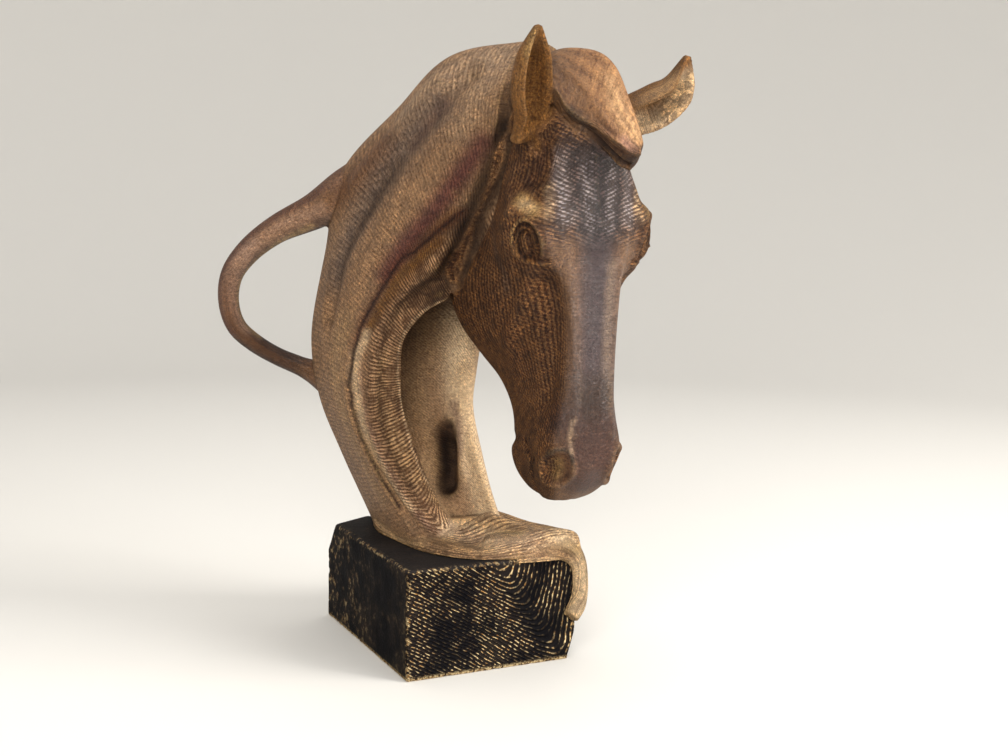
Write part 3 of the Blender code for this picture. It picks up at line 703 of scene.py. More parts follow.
def stroke_weight(spots, line, reach, tool="gouge"):
    """One on the line and zero at the reach: half of 1 + cos(pi * d / reach), or 1 - d / reach."""
    near = np.all((spots > line.min(0) - reach) & (spots < line.max(0) + reach), axis=1)
    close = spots[near]
    nearest = np.full(len(close), float(reach))
    for start, end in zip(line[:-1], line[1:]):
        run = end - start
        share = np.clip((close - start) @ run / (run @ run), 0.0, 1.0)
        away = np.linalg.norm(close - start - share[:, None] * run, axis=1)
        nearest = np.minimum(nearest, away)
    weight = np.zeros(len(spots))
    if tool == "gouge":
        weight[near] = 0.5 + 0.5 * np.cos(np.pi * nearest / reach)
    else:
        weight[near] = 1.0 - nearest / reach
    return weight


def other_cheek(points):
    """The same points on the far side of the head."""
    return np.asarray(points, float) * (-1, 1, 1) + (2 * HEAD_X, 0, 0)


def carve(item, strokes, both_cheeks=False):
    """Move the points along their normals by the sum of all strokes of one table."""
    spots = read_points(item.data) / MM
    depth = np.zeros(len(spots))
    for points, reach, cut, tool in strokes.values():
        weight = stroke_weight(spots, polyline(points, LINE_STEPS), reach, tool)
        if both_cheeks:
            far_line = polyline(other_cheek(points), LINE_STEPS)
            weight = np.maximum(weight, stroke_weight(spots, far_line, reach, tool))
        depth += cut * weight
    spots -= read_points(item.data, "normal") * depth[:, None]
    place_points(item.data, spots * MM)


carve(figure, BROAD_NECK)
carve(figure, BROAD_HEAD, both_cheeks=True)
carve(figure, FINE_NECK)
carve(figure, FINE_HEAD, both_cheeks=True)
carve(figure, ONE_SIDE)
print("carved", len(figure.data.vertices), "points")

# %% Long facets
FACET_DEPTH = 0.28
FACETS_ROUND_NECK = 13
FACETS_ROUND_HEAD = 10


def facet_relief(address):
    """Depth in mm of the shallow facets that a gouge leaves along the flow of the wood.

    A sine of the way round, whose phase drifts with the way along, and a second one whose phase
    drifts the other way; only the neck and the head carry them."""
    guide, station, kind = address.T
    head_turns = guide / HEAD_GUIDES * FACETS_ROUND_HEAD
    turns = np.where(kind < 0.5, head_turns, guide / len(NECK_LINES) * FACETS_ROUND_NECK)
    first = np.sin(2 * np.pi * turns + 1.3 * np.sin(0.9 * station))
    second = np.sin(2 * np.pi * 0.7 * guide - 0.8 * station)
    return FACET_DEPTH * (0.65 * first + 0.35 * second) * (kind < 1.5)


def even_out(values, ends, counts, rounds):
    """Average each point's value with its neighbours' values, again and again."""
    for _ in range(rounds):
        total = np.bincount(ends[:, 0], values[ends[:, 1]], len(values))
        total += np.bincount(ends[:, 1], values[ends[:, 0]], len(values))
        values = 0.5 * values + 0.5 * total / counts
    return values


def edge_ends(mesh):
    """The two point numbers of every edge, and the number of edges at every point."""
    ends = np.empty(len(mesh.edges) * 2, dtype=np.int32)
    mesh.edges.foreach_get("vertices", ends)
    ends = ends.reshape(-1, 2)
    return ends, np.maximum(np.bincount(ends.ravel(), minlength=len(mesh.vertices)), 1)


ends, counts = edge_ends(figure.data)
relief = even_out(facet_relief(address), ends, counts, 6)
spots = read_points(figure.data) + read_points(figure.data, "normal") * relief[:, None] * MM
print("facets up to", round(float(relief.max()), 2), "mm")

# %% Rub the joints smooth
MELT_ROUNDS = 60
MELT_GAIN = 1.6
THROAT_CREASE = [(1.5, -60, 252), (1.5, -56, 244), (1.5, -54, 237), (-3, -48, 222), (-6, -36, 206),
                 (-3, -26, 196)]
# Places where two skins meet in a lump or a pit: points and reach
RUBBED = [
    ([(-8, -20, 62), (12, -34, 59), (30, -46, 61), (44, -50, 56)], 26),
    (THROAT_CREASE + [(-2, -21, 190), (-2.5, -17, 183), (-4.7, -14.5, 178.9)], 9),
    ([(9.7, -88.2, 258.7), (8.2, -93.5, 261.2), (7.5, -88.7, 256.5)], 8),
    ([(8, 15, 102), (6.8, 12, 90), (5.2, 8.5, 78)], 9),
]
melted = np.stack([even_out(axis, ends, counts, MELT_ROUNDS) for axis in spots.T], axis=1)
melt = np.zeros(len(spots))
for points, reach in RUBBED:
    melt = np.maximum(melt, stroke_weight(spots / MM, polyline(points, LINE_STEPS), reach))
melt = np.clip(MELT_GAIN * melt, 0, 1)[:, None]
spots = spots * (1 - melt) + melted * melt
place_points(figure.data, spots)
print("rubbed", int((melt > 0).sum()), "points")

# %% [markdown]
# ## Thinning, and the seat on the block
#
# Flat places need few triangles and lids need many, so the surface is thinned by collapsing the
# edges that change its form least. Then the block, swollen by a third of a millimetre, is cut
# out of the foot, which leaves the fine dark gap of two castings put together.

# %% Thin and seat
PIECE_TRIANGLES = 196000
SEAT_GAP = 0.3
BEHIND_LIP = 20
SUNK_SHARE = 0.02
SHARP = math.radians(65)


def merged_copy(node, name):
    """A copy of a packed solid's mesh with its loose corners joined."""
    shell = bmesh.new()
    shell.from_mesh(node.data)
    bmesh.ops.remove_doubles(shell, verts=shell.verts, dist=1e-6)
    mesh = bpy.data.meshes.new(name)
    shell.to_mesh(mesh)
    shell.free()
    return mesh


seat_mesh = merged_copy(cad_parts["plinth_block"], "seat_cutter")
cutter = add_to_scene("seat_cutter", seat_mesh)
low, high = np.array(block_box)
swell = (high - low + 2 * SEAT_GAP * MM) / (high - low)
middle = (low + high) / 2
place_points(cutter.data, middle + (read_points(cutter.data) - middle) * swell)

# Behind the hanging lip nothing may reach down past the edge of the block
settled = read_points(figure.data)
sunk = (settled[:, 1] > BEHIND_LIP * MM) & (settled[:, 2] < high[2])
settled[sunk, 2] = high[2] - SUNK_SHARE * (high[2] - settled[sunk, 2])
place_points(figure.data, settled)

thin = figure.modifiers.new("thin", "DECIMATE")
thin.ratio = PIECE_TRIANGLES / (2 * len(figure.data.polygons))
thin.use_collapse_triangulate = True
seat = figure.modifiers.new("seat", "BOOLEAN")
seat.operation = "DIFFERENCE"
seat.solver = "EXACT"
seat.object = cutter
settle(figure)
bpy.data.objects.remove(cutter)
carry_address(figure, heap)
bpy.data.objects.remove(heap)
place_points(figure.data, np.clip(read_points(figure.data), *np.array(figure_box)))
figure.data.shade_smooth()
figure.data.set_sharp_from_angle(angle=SHARP)
print("thinned to", len(figure.data.polygons), "faces")

# %% [markdown]
# ## Flow of the wood
#
# Real grain follows the way the tree grew. Here it follows the guide lines: every skin knows, in
# millimetres, how far a point is along the flow and how far round it. Ribs are then nothing but a
# wave along the flow, which slants where a second number, the slant, changes on the way round.

# %% Distances along and round every skin
def flow_of(address):
    """Millimetres along and round the skins. Round is folded: it rises to half way and falls
    again, so that it meets itself at the seam."""
    guide, station, kind = address.T
    kind = np.rint(kind).astype(int)
    along = np.zeros(len(kind))
    round_mm = np.zeros(len(kind))
    for number, (girth, length, around, steps) in enumerate(skin_lengths):
        mine = kind == number
        along[mine] = np.interp(station[mine] * steps, np.arange(len(length)), length)
        turned = np.interp(guide[mine] * around, np.arange(len(girth)), girth)
        round_mm[mine] = np.minimum(turned, girth[-1] - turned)
    return along, round_mm, kind


address = read_vectors(figure.data, "address")
along, round_mm, kind = flow_of(address)
guide, station = address[:, 0], address[:, 1]
ends, counts = edge_ends(figure.data)
spots = read_points(figure.data) / MM
normals = read_points(figure.data, "normal")
print("longest skin", round(float(along.max())), "mm")

# %% Waves
def ramp(values, low, high):
    """Zero below low and one above high, with a soft step between: t * t * (3 - 2 * t)."""
    t = np.clip((values - low) / (high - low), 0.0, 1.0)
    return t * t * (3 - 2 * t)


def line_weight(points, reach):
    """How near each point of the figure is to a line: one on it and zero at the reach."""
    return stroke_weight(spots, polyline(points, LINE_STEPS), reach)


RIB_PITCH = 2.0
LINE_PITCH = 1.8
SLANT_GUIDES = [0, 2, 3, 4, 5, 6, 7, 8.5, 10]
SLANT_MM = [0, -3, -4, 0, -16, -38, -60, -50, -10]
is_head = kind == HEAD
is_neck = kind == NECK
fold_guide = np.minimum(guide, HEAD_GUIDES - guide)
half_width = np.where(is_head, round_mm, 0.0)
slant = np.where(is_neck, np.interp(guide, SLANT_GUIDES, SLANT_MM), 0.0)
slant -= np.where(is_neck, 9.0 * ramp(station, 6.0, 8.5) * np.exp(-((guide - 3.5) / 0.5) ** 2), 0.0)
slant += np.where(is_head, 0.55 * half_width, 0.0)
slant += np.where(kind == BRANCH_SKIN, 0.5 * round_mm, 0.0)
rib_phase = (along + slant) / RIB_PITCH * np.where(kind == FOOT, 2.4, 1.0)
herring_way = np.where(is_head, 1 - ramp(fold_guide, 1.4, 2.2), 0.0) * ramp(spots[:, 2], 190, 205)
cross_phase = (along - 1.15 * half_width) / RIB_PITCH
line_phase = round_mm / LINE_PITCH * (1 - herring_way) + cross_phase * herring_way

border = np.zeros(len(kind))
crossing = kind[ends[:, 0]] != kind[ends[:, 1]]
border[ends[crossing].ravel()] = 1.0
border = np.clip(3.0 * even_out(border, ends, counts, 4), 0.0, 1.0)
print("phases up to", round(float(rib_phase.max())))

# %% Where the waves are cut
# Strengths skin by skin: head, neck, foot, branch, hanging lip, forelock, ears
RIB_STRENGTH = np.array([0.5, 0.5, 0.7, 0.2, 0.6, 0.1, 0.2, 0.2])
LINE_STRENGTH = np.array([0.6, 0.1, 0.05, 0.15, 0.1, 0.45, 0.3, 0.3])
CRACKLE = np.array([1.0, 0.55, 0.5, 0.45, 0.6, 0.1, 0.6, 0.6])
rib = RIB_STRENGTH[kind]
line = LINE_STRENGTH[kind]
band = np.where(is_neck, ramp(guide, 2.6, 3.1) * (1 - ramp(guide, 4.0, 4.3)), 0.0)
hollow = np.where(is_neck, ramp(guide, 4.0, 4.5) * (1 - ramp(guide, 7.5, 8.0)), 0.0)
rib = rib + 0.4 * band
front = np.where(is_head, 1 - ramp(fold_guide, 1.2, 2.0), 0.0)
herring = front * ramp(spots[:, 2], 195, 210)
rib = rib * (1 - 0.6 * front) + 0.9 * herring
line = line * (1 - 0.8 * front) + 0.35 * herring
crackle = CRACKLE[kind] * (1 - 0.8 * band) * (1 - 0.8 * hollow) * (1 - 0.6 * front)
crackle = even_out(crackle, ends, counts, 6)
brow = line_weight(BROW_TOP, 9)
rib = rib * (1 - brow)
line = line * (1 - brow)
rib = even_out(rib, ends, counts, 3) * (1 - border)
line = even_out(line, ends, counts, 3) * (1 - border)
print("ribs of", RIB_PITCH, "mm on", int((rib > 0.5).sum()), "of", len(rib), "points")

# %% [markdown]
# ## Painting
#
# The finish of such a casting is sprayed and brushed by hand in thin coats. A base colour goes on
# every part, broad soft strokes shift it, a dark wash stays in the hollows, and a nearly dry
# brush leaves gold on the high places. The coats are mixed here in the same order. Painted
# light and shade go in with them: painted shadows in creases, under the jaw, under the forelock
# and in the knothole, and painted highlights on edges and sides that face the light.

# %% Paints, as linear colours
PAINTS = {
    "ash_tan": (0.50, 0.355, 0.235),
    "khaki": (0.40, 0.245, 0.135),
    "tan": (0.52, 0.345, 0.18),
    "rose_tan": (0.56, 0.355, 0.245),
    "gold_tan": (0.55, 0.37, 0.15),
    "gold_brown": (0.27, 0.125, 0.032),
    "pale_tan": (0.88, 0.68, 0.44),
    "russet": (0.20, 0.09, 0.038),
    "umber": (0.235, 0.118, 0.049),
    "wine": (0.15, 0.05, 0.042),
    "dark_umber": (0.045, 0.018, 0.006),
    "slate": (0.21, 0.155, 0.125),
    "mauve": (0.21, 0.115, 0.09),
    "purple": (0.065, 0.038, 0.040),
    "muzzle_red": (0.078, 0.034, 0.022),
    "burgundy": (0.10, 0.028, 0.015),
    # Blue-grey, used only as a painted sheen on the forehead
    "steel": (0.44, 0.43, 0.50),
    # Near-black paint, also laid as painted shadow in creases, under the forelock and in the knothole
    "soot": (0.016, 0.006, 0.003),
}
BASE_PAINT = ["umber", "khaki", "tan", "russet", "gold_tan", "umber", "gold_brown", "gold_brown"]
paint = np.array([PAINTS[name] for name in BASE_PAINT])[kind]
paint = np.stack([even_out(channel, ends, counts, 10) for channel in paint.T], axis=1)
print("paints", len(PAINTS), "on", len(BASE_PAINT), "skins")

# %% Brushes
THIN_REACH = 5


def lay(paint, name, amount):
    """A coat: paint * (1 - amount) + colour * amount."""
    amount = np.clip(amount, 0.0, 1.0)[:, None]
    return paint * (1 - amount) + np.array(PAINTS[name]) * amount


def pressed(points):
    """A line whose points are moved to the nearest points of the surface."""
    line = polyline(points, LINE_STEPS)
    nearest = [int(np.argmin(((spots - point) ** 2).sum(axis=1))) for point in line]
    line = spots[nearest]
    moved = np.any(np.diff(line, axis=0) != 0, axis=1)
    return line[np.append(True, moved)]


def brush(paint, name, points, reach, strength, where=None):
    """A soft stroke of one paint along a line. Thin strokes are pressed onto the surface first."""
    line = pressed(points) if reach < THIN_REACH else polyline(points, LINE_STEPS)
    amount = strength * stroke_weight(spots, line, reach)
    if where is not None:
        amount = amount * where
    return lay(paint, name, amount)


print("the eyeball's line, pressed, has", len(pressed(EYEBALL)), "points")

# %% Coats of the neck and the branch: paint, points, reach, and strength
NECK_STROKES = [
    ("ash_tan", [(0, -56, 282), (-12, -49, 276), (-22, -39, 270), (-31, -27, 256)], 20, 0.85),
    ("russet", [(-38, -15, 241), (-45, 1, 230), (-52, 18, 222)], 17, 0.9),
    ("slate", [(-24, -42, 260), (-35, -22, 237), (-39, -12, 225), (-44, -1, 211), (-48, 8, 197),
               (-52, 14, 182)], 15, 0.9),
    ("dark_umber", [(-36, -22, 235), (-42, -7, 215), (-48, 6, 196), (-52, 12, 180)], 6, 0.5),
    ("mauve", [(-20, -42, 262), (-30, -30, 243)], 6, 0.4),
    ("ash_tan", [(-10, -56, 267), (-17, -51, 250)], 12, 0.5),
    ("wine", [(-8, -56, 244), (-17, -45, 226), (-24, -36, 212), (-32, -25, 198), (-38, -17, 184)],
     10, 0.95),
    # Painted shadow in the crease between the cheek and the neck
    ("soot", THROAT_CREASE + [(-2, -18, 184)], 10, 0.9),
    ("gold_brown", [(-14, -38, 214), (-21, -30, 200), (-28, -18, 184), (-35, -10, 172), (-41, -6, 160)],
     6, 0.7),
    ("tan", [(-52, 1, 160), (-55, 8, 140), (-52, 6, 118), (-45, 2, 98), (-33, -4, 76)], 12, 0.6),
    # Painted shade under the jaw, on the top of the band
    ("dark_umber", [(-6, -24, 196), (-17, -18, 181), (-24, -8, 168)], 8, 0.75),
    ("tan", [(-31, 3, 140), (-29, 5, 117), (-23, 3, 99), (-13, -1, 82), (2, 0, 64)], 11, 0.8),
    # Painted shadow of the head high in the hollow, then painted shade under the jaw
    ("dark_umber", [(12, 2, 180), (2, 20, 163), (-8, 28, 150)], 15, 0.75),
    ("dark_umber", [(-6, -36, 206), (-5, -26, 195), (-6, -18, 184), (-12, -12, 174)], 14, 0.8),
    ("tan", [(2, 24, 154), (-6, 30, 133), (-5, 28, 112), (-2, 21, 92), (2, 12, 76)], 18, 0.7),
    ("umber", [(-8, 28, 140), (-9, 28, 118), (-6, 22, 96)], 11, 0.45),
    # Pale paint on the right wall of the hollow, a painted highlight where it faces the light
    ("pale_tan", [(14, 14, 160), (14, 15, 134), (15, 11, 119), (16, 3, 99), (18, -5, 80), (20, -12, 66)],
     16, 0.95),
    ("tan", [(15, 13, 134), (15, 11, 119), (16, 3, 99), (18, -5, 80), (20, -12, 66)], 9, 0.5),
    ("rose_tan", [(-46, -6, 157), (-47, -3, 143), (-45, -1, 123), (-39, -2, 104), (-31, -6, 87),
                  (-21, -12, 72), (-8, -20, 61)], 4, 0.7),
    ("mauve", [(11, 13, 116), (12, 10, 108), (12, 8, 99), (11, 7, 90)], 4, 0.6),
    ("pale_tan", [(-1, -17, 58), (5, -33, 57), (10, -54, 59), (24, -59, 61), (35, -58, 64)], 15, 0.85),
    ("rose_tan", [(-1, -17, 58), (5, -33, 57), (10, -50, 59), (24, -55, 61)], 9, 0.5),
    ("khaki", [(-20, -30, 56), (-7, -47, 54), (10, -55, 54), (29, -60, 56), (42, -61, 50)], 6, 0.8),
    # Pale paint on the hanging lip, a painted highlight on its side turned to the light
    ("pale_tan", [(45, -60, 45), (49, -58, 34), (46, -60, 25)], 13, 0.9),
    # Painted shadow: dark above the knothole and near-black inside it
    ("dark_umber", [(8.6, 19.2, 103), (9.5, 21, 94.2), (9.9, 20.4, 87.5), (9, 17, 80), (7.5, 10, 72)],
     12, 0.85),
    ("soot", [(9, 20, 99), (9.8, 20.8, 91), (9.9, 19, 84), (9, 15, 78), (7.5, 10, 73)], 8, 0.95),
    ("soot", [(7, 13, 99), (6.4, 11, 88), (5.8, 9.8, 81), (5.2, 8.5, 77)], 8.5, 1.0),
]
BRANCH_STROKES = [
    ("gold_brown", [(-55, 24, 218), (-66, 36, 211), (-79, 47, 201)], 9, 0.55),
    ("mauve", [(-84, 57, 192), (-91, 62, 180), (-92, 64, 166)], 9, 0.5),
    ("dark_umber", [(-84, 62, 156), (-73, 57, 146), (-60, 48, 137)], 10, 0.85),
    ("umber", [(-55, 45, 133), (-48, 40, 128)], 13, 0.6),
    ("rose_tan", [(-60, 22, 214), (-72, 33, 207), (-84, 44, 196), (-90, 52, 180), (-90, 55, 166),
                  (-83, 54, 155)], 4.5, 0.5),
    ("burgundy", [(-60, 24, 226), (-74, 36, 218), (-90, 48, 205), (-100, 58, 186), (-100, 63, 166),
                  (-92, 62, 150)], 4, 0.65),
    ("gold_tan", [(-58, 34, 205), (-68, 44, 196), (-76, 52, 186), (-78, 56, 172), (-72, 54, 160)],
     4, 0.6),
]
print("neck and branch", len(NECK_STROKES) + len(BRANCH_STROKES), "coats")

# %% Coats of the head
HEAD_STROKES = [
    ("purple", [(27, -100, 236), (27, -100, 218), (27, -100, 196), (26, -100, 172), (25, -100, 150),
                (24, -100, 128), (24, -100, 114)], 15, 0.95),
    ("purple", [(15, -97, 240), (17, -99, 225), (20, -100, 210)], 8, 0.8),
    ("umber", [(7, -95, 236), (8, -95, 226), (7, -96, 216)], 7, 0.3),
    # Painted sheen: blue-grey reflections on the ribs of the forehead
    ("steel", [(8, -96.5, 238), (9.5, -98, 224), (11.5, -98.8, 212)], 7, 0.9),
    ("steel", [(20, -100, 238), (21, -100, 222), (22.5, -100.8, 209)], 5, 0.5),
    # Painted highlight along the right edge of the nose bridge
    ("ash_tan", [(34, -100, 193), (32.6, -100, 177), (32.7, -100, 159), (33.3, -100, 142),
                 (35.5, -99, 126)], 4, 0.3),
    ("dark_umber", [(24, -100, 138), (24, -100, 126), (24, -100, 116)], 12, 0.85),
    ("gold_brown", [(-7, -82, 210), (-6, -86, 213), (-2, -88, 217), (3, -94, 214)], 6, 0.9),
    ("rose_tan", [(-3, -78, 244), (-5, -82, 236), (-6, -84, 227)], 7, 0.5),
    ("mauve", [(5, -85, 240), (4, -85, 234), (1, -84, 228)], 7, 0.6),
    ("slate", [(-1, -53, 213), (-5, -58, 204), (-4, -67, 190), (0, -65, 180)], 5, 0.5),
    ("russet", [(-1, -41, 178), (2, -57, 170), (4, -62, 156), (9, -64, 143)], 14, 0.3),
    ("muzzle_red", [(13, -95, 124), (25, -101, 111), (31, -100, 102), (24, -94, 94)], 15, 0.9),
    ("gold_brown", [(10, -85, 112), (9, -80, 106), (12, -74, 96)], 9, 0.5),
    ("dark_umber", [(9, -79, 104), (11, -72, 100), (13, -72, 92)], 4, 0.8),
    ("russet", [(-7, -87, 206), (-4, -90, 210), (0, -94, 206), (3, -93, 197), (-2, -87, 194)], 6, 0.6),
    ("gold_tan", OUTER_FOLD, 1.5, 0.55),
    ("gold_brown", INNER_LID, 1.2, 0.9),
    ("umber", EYEBALL, 3.6, 0.8),
    ("soot", LID_CREASE, 0.9, 0.8),
    ("soot", LID_GAP, 0.9, 0.75),
    ("gold_brown", [(-3.6, -88.8, 203.5), (-2.6, -88.8, 201), (-1.6, -88.6, 199)], 1.7, 0.8),
    ("gold_brown", LOWER_LID, 1.8, 0.7),
    ("gold_tan", BROW_TOP, 6, 0.95),
    # Pale paint on the golden patch above the eye, partly a painted highlight, and a painted highlight on
    # the front edge of the brow
    ("pale_tan", [(-3.5, -86.9, 218), (-2.6, -91.4, 216.5)], 4.6, 0.5),
    ("pale_tan", [(4.9, -94.3, 224.3), (5.5, -96.2, 217.5), (4, -97.5, 212.5)], 4.2, 0.6),
    ("soot", [(8.9, -89.9, 105.1), (8.5, -93.2, 108.8), (10, -96.7, 111), (13.1, -99.2, 111.7),
              (15.8, -100.7, 110), (16.5, -100.6, 105.6)], 1.8, 0.85),
    ("gold_tan", [(13.6, -92.4, 105.8), (14.8, -91.1, 103.1), (14.1, -89.8, 99.3)], 4.5, 0.45),
    # Painted highlight along the left edge of the bridge, above the nostril
    ("ash_tan", [(16.9, -99.8, 124.8), (15.8, -99.3, 118.2), (16.4, -100.5, 110.9)], 1.8, 0.6),
]
print("head", len(HEAD_STROKES), "coats")

# %% Coats of the ears and the forelock
EAR_STROKES = [
    ("gold_brown", [(-3, -96, 280), (-2, -95, 277), (1, -90, 268), (2, -86, 260)], 6, 0.9),
    ("gold_tan", [(-8, -97, 268), (-11, -103, 277), (-10, -107, 286)], 4, 0.5),
    ("tan", [(51, -95, 263), (56, -99, 267), (62, -101, 273)], 8, 0.6),
    # Pale paint in the far ear's cup, a painted highlight where it faces the light
    ("pale_tan", [(59, -83, 255), (63.2, -85.1, 256.1), (67.8, -88.4, 259.6), (71.6, -92, 265.7),
                  (71.5, -97.1, 273.2)], 9, 0.95),
]
# On the forelock, the dark strokes along its left side and under its lower edge are painted shade, and the
# tan stroke on its right is a painted highlight
FORELOCK_STROKES = [
    ("dark_umber", [(8, -90, 274), (13, -98, 262), (19, -104, 255), (25, -108, 248)], 10, 0.5),
    ("dark_umber", [(10, -84, 284), (14, -92, 279), (22, -92, 281), (28, -96, 277)], 10, 0.22),
    ("tan", [(28, -101, 270), (32, -107, 256), (37, -111, 247)], 8, 0.45),
    ("mauve", [(8, -92, 270), (13, -98, 262), (19, -104, 255), (25, -108, 248)], 6, 0.35),
    ("mauve", [(31, -112, 244), (36, -112, 240)], 5, 0.7),
    ("dark_umber", [(16, -103, 253), (23, -105.5, 248), (30, -108.5, 242), (36, -110.5, 237)],
     4.5, 0.7),
    ("umber", [(12, -102, 255), (17, -102, 250), (24, -103, 245), (31, -106, 240), (37, -108, 236)],
     7, 0.95),
    ("dark_umber", [(37, -112, 239), (38, -108, 234)], 6, 0.8),
]
print("ears and forelock", len(EAR_STROKES) + len(FORELOCK_STROKES), "coats")

# %% Lay the coats
on_ears = even_out((kind >= EAR).astype(float), ends, counts, 1)
on_lock = even_out((kind == FORELOCK).astype(float), ends, counts, 1)
on_head = even_out(is_head.astype(float), ends, counts, 2)
on_rest = np.clip(1 - on_ears - on_lock - on_head, 0, 1)
on_branch = even_out((kind == BRANCH_SKIN).astype(float), ends, counts, 6)
# The branch: rosy in front and red on top; painted shade darkens it below, the more so near its lower root
height_mm = spots[:, 2]
faces_front, faces_up, faces_down = -normals[:, 1], normals[:, 2], -normals[:, 2]
paint = lay(paint, "rose_tan", 0.9 * on_branch * ramp(faces_front, 0.2, 0.8) * ramp(height_mm, 165, 195))
paint = lay(paint, "burgundy", 0.6 * on_branch * ramp(faces_up, 0.35, 0.85))
low_branch_shade = on_branch * ramp(-height_mm, -215, -150)
paint = lay(paint, "dark_umber", 0.8 * low_branch_shade * ramp(faces_down, 0.1, 0.7))
paint = lay(paint, "dark_umber", 0.5 * on_branch * ramp(faces_down, 0.2, 0.8))
# The far cheek gets only the broader strokes
FAR_REACH = 4
tables = [(NECK_STROKES, on_rest), (BRANCH_STROKES, None), (HEAD_STROKES, on_head)]
tables += [(EAR_STROKES, on_ears), (FORELOCK_STROKES, on_lock)]
for strokes, where in tables:
    for name, points, reach, strength in strokes:
        paint = brush(paint, name, points, reach, strength, where)
        if strokes is HEAD_STROKES and reach > FAR_REACH:
            paint = brush(paint, name, other_cheek(points), reach, strength, where)
# Painted shade under the forelock and on its left half, and painted shadow of the head high up in the
# hollow of the neck
under_lock_shade = on_lock * ramp(faces_down, 0.0, 0.35) * ramp(faces_front, -0.2, 0.3)
lock_left_shade = on_lock * (1 - ramp(spots[:, 0] + 0.25 * (270 - height_mm), 22, 34))
shade = np.where(is_neck, ramp(guide, 4.1, 4.5) * (1 - ramp(guide, 5.6, 6.8)), 0.0)
paint = lay(paint, "dark_umber", 0.9 * under_lock_shade)
paint = lay(paint, "dark_umber", 0.65 * shade * ramp(height_mm, 75, 155))
paint = lay(paint, "umber", 0.75 * lock_left_shade)
print("strokes of paint", sum(len(strokes) for strokes, _ in tables))

# %% Dark wash with painted shade, and dry brush
def hollow_depth(rounds):
    """How far the evened surface stands outside the real one, in mm along the normal: above zero
    in a hollow and below zero on a ridge."""
    smooth = np.stack([even_out(axis, ends, counts, rounds) for axis in spots.T], axis=1)
    return np.sum((smooth - spots) * normals, axis=1)


# A dark wash lies in the fine hollows; the broad hollows and the knothole get painted shade. The ears get
# less of it, the far ear least, and the eyes none.
fine = hollow_depth(4)
broad = hollow_depth(40)
hollow_wash_and_shade = ramp(fine, 0.03, 0.22) * 0.6 + ramp(broad, 0.25, 1.6) * 0.8
wear = ramp(-fine, 0.04, 0.22) * 0.7 + ramp(-broad, 0.4, 2.0) * 0.4
in_knothole = line_weight(BROAD_NECK["knothole"][0], 9)
knothole_shade = ramp(in_knothole, 0.25, 0.6) * ramp(broad, 0.2, 1.2)
eyes = np.maximum(line_weight(EYEBALL, 9), line_weight(other_cheek(EYEBALL), 12))
hollow_wash_and_shade = np.clip(hollow_wash_and_shade + knothole_shade, 0, 1) * (1 - 0.9 * np.clip(2 * eyes, 0, 1))
hollow_wash_and_shade = hollow_wash_and_shade * (1 - on_ears * np.where(spots[:, 0] > 40, 0.85, 0.45))
wear = np.clip(wear, 0, 1) * (1 - 0.75 * np.clip(on_head + on_ears + on_lock, 0, 1))
print("wash on", round(float(hollow_wash_and_shade.mean()), 3), "dry brush on", round(float(wear.mean()), 3))

# %% Lines for fine paint
RIM_PAINT = [(-11.4, -40, 213.2), (-18.4, -33.3, 205.2), (-25.5, -26.7, 197.2), (-33.4, -21.7, 190.1),
             (-38.4, -15.6, 179.1), (-43.4, -10.5, 168), (-46.8, -7.8, 159.9), (-48.8, -5.1, 150.2),
             (-50.5, -3.1, 139.5), (-50.7, -2.4, 128.4), (-48.8, -2.9, 117.7), (-46.2, -4.2, 107.6),
             (-42, -7, 96.1), (-36.9, -11.3, 84.3), (-30, -16.2, 72.5)]
STRIP_PAINT = [(-17.1, -30.6, 200.6), (-24.2, -23.7, 192), (-31, -18.5, 184.4), (-35.6, -12.5, 174.7),
               (-39.8, -7.8, 164), (-44, -5.8, 155.3)]
RIM_HIGHLIGHT = [(-44, -5.8, 155), (-47.5, -4, 146), (-48.5, -2.6, 137), (-47.5, -1.8, 126),
              (-45.5, -2, 116), (-42.5, -3.6, 105), (-37, -6, 94), (-31, -9, 82), (-23, -11, 71)]
EDGE_HIGHLIGHT = [(-5.9, -11.7, 171.5), (-10.8, -7.2, 168.4), (-15.8, -1.7, 163.2), (-19, 3.2, 157),
              (-21.3, 7.6, 148.2), (-22.3, 9, 139.7), (-20.2, 11.2, 127.9), (-19.1, 11, 117.8),
              (-17, 9.4, 107.8), (-14.5, 6, 95.6), (-11.5, 2.6, 85.9), (-7.5, 0.2, 77.4)]
LOCK_SHADE = [(11, -100.5, 255.5), (17.5, -102.5, 250.5), (24.5, -103, 245), (31, -105, 240),
              (37, -108, 236)]
print("the longest line has", len(RIM_PAINT), "points")

# %% Fine lines of paint
paint = brush(paint, "burgundy", RIM_PAINT[:8], 6.5, 0.6, on_rest)
paint = brush(paint, "gold_brown", STRIP_PAINT, 4.5, 0.9, on_rest)
# Painted highlight: a pale stripe along the crest of the rim
paint = brush(paint, "pale_tan", RIM_HIGHLIGHT, 4.6, 0.9, on_rest)
paint = brush(paint, "burgundy", RIM_PAINT, 2.4, 0.7, on_rest)
paint = brush(paint, "soot", RIM_PAINT, 1.3, 0.8, on_rest)
# The forelock grows lighter from left to right: painted shade on its left, painted light on its right
lock_light_and_shade = 0.55 + 0.75 * ramp(spots[:, 0], 8, 34)
paint = paint * (1 + on_lock * (lock_light_and_shade - 1))[:, None]
# Painted shadow cast by the forelock's lower edge
paint = brush(paint, "soot", LOCK_SHADE, 6, 0.9)
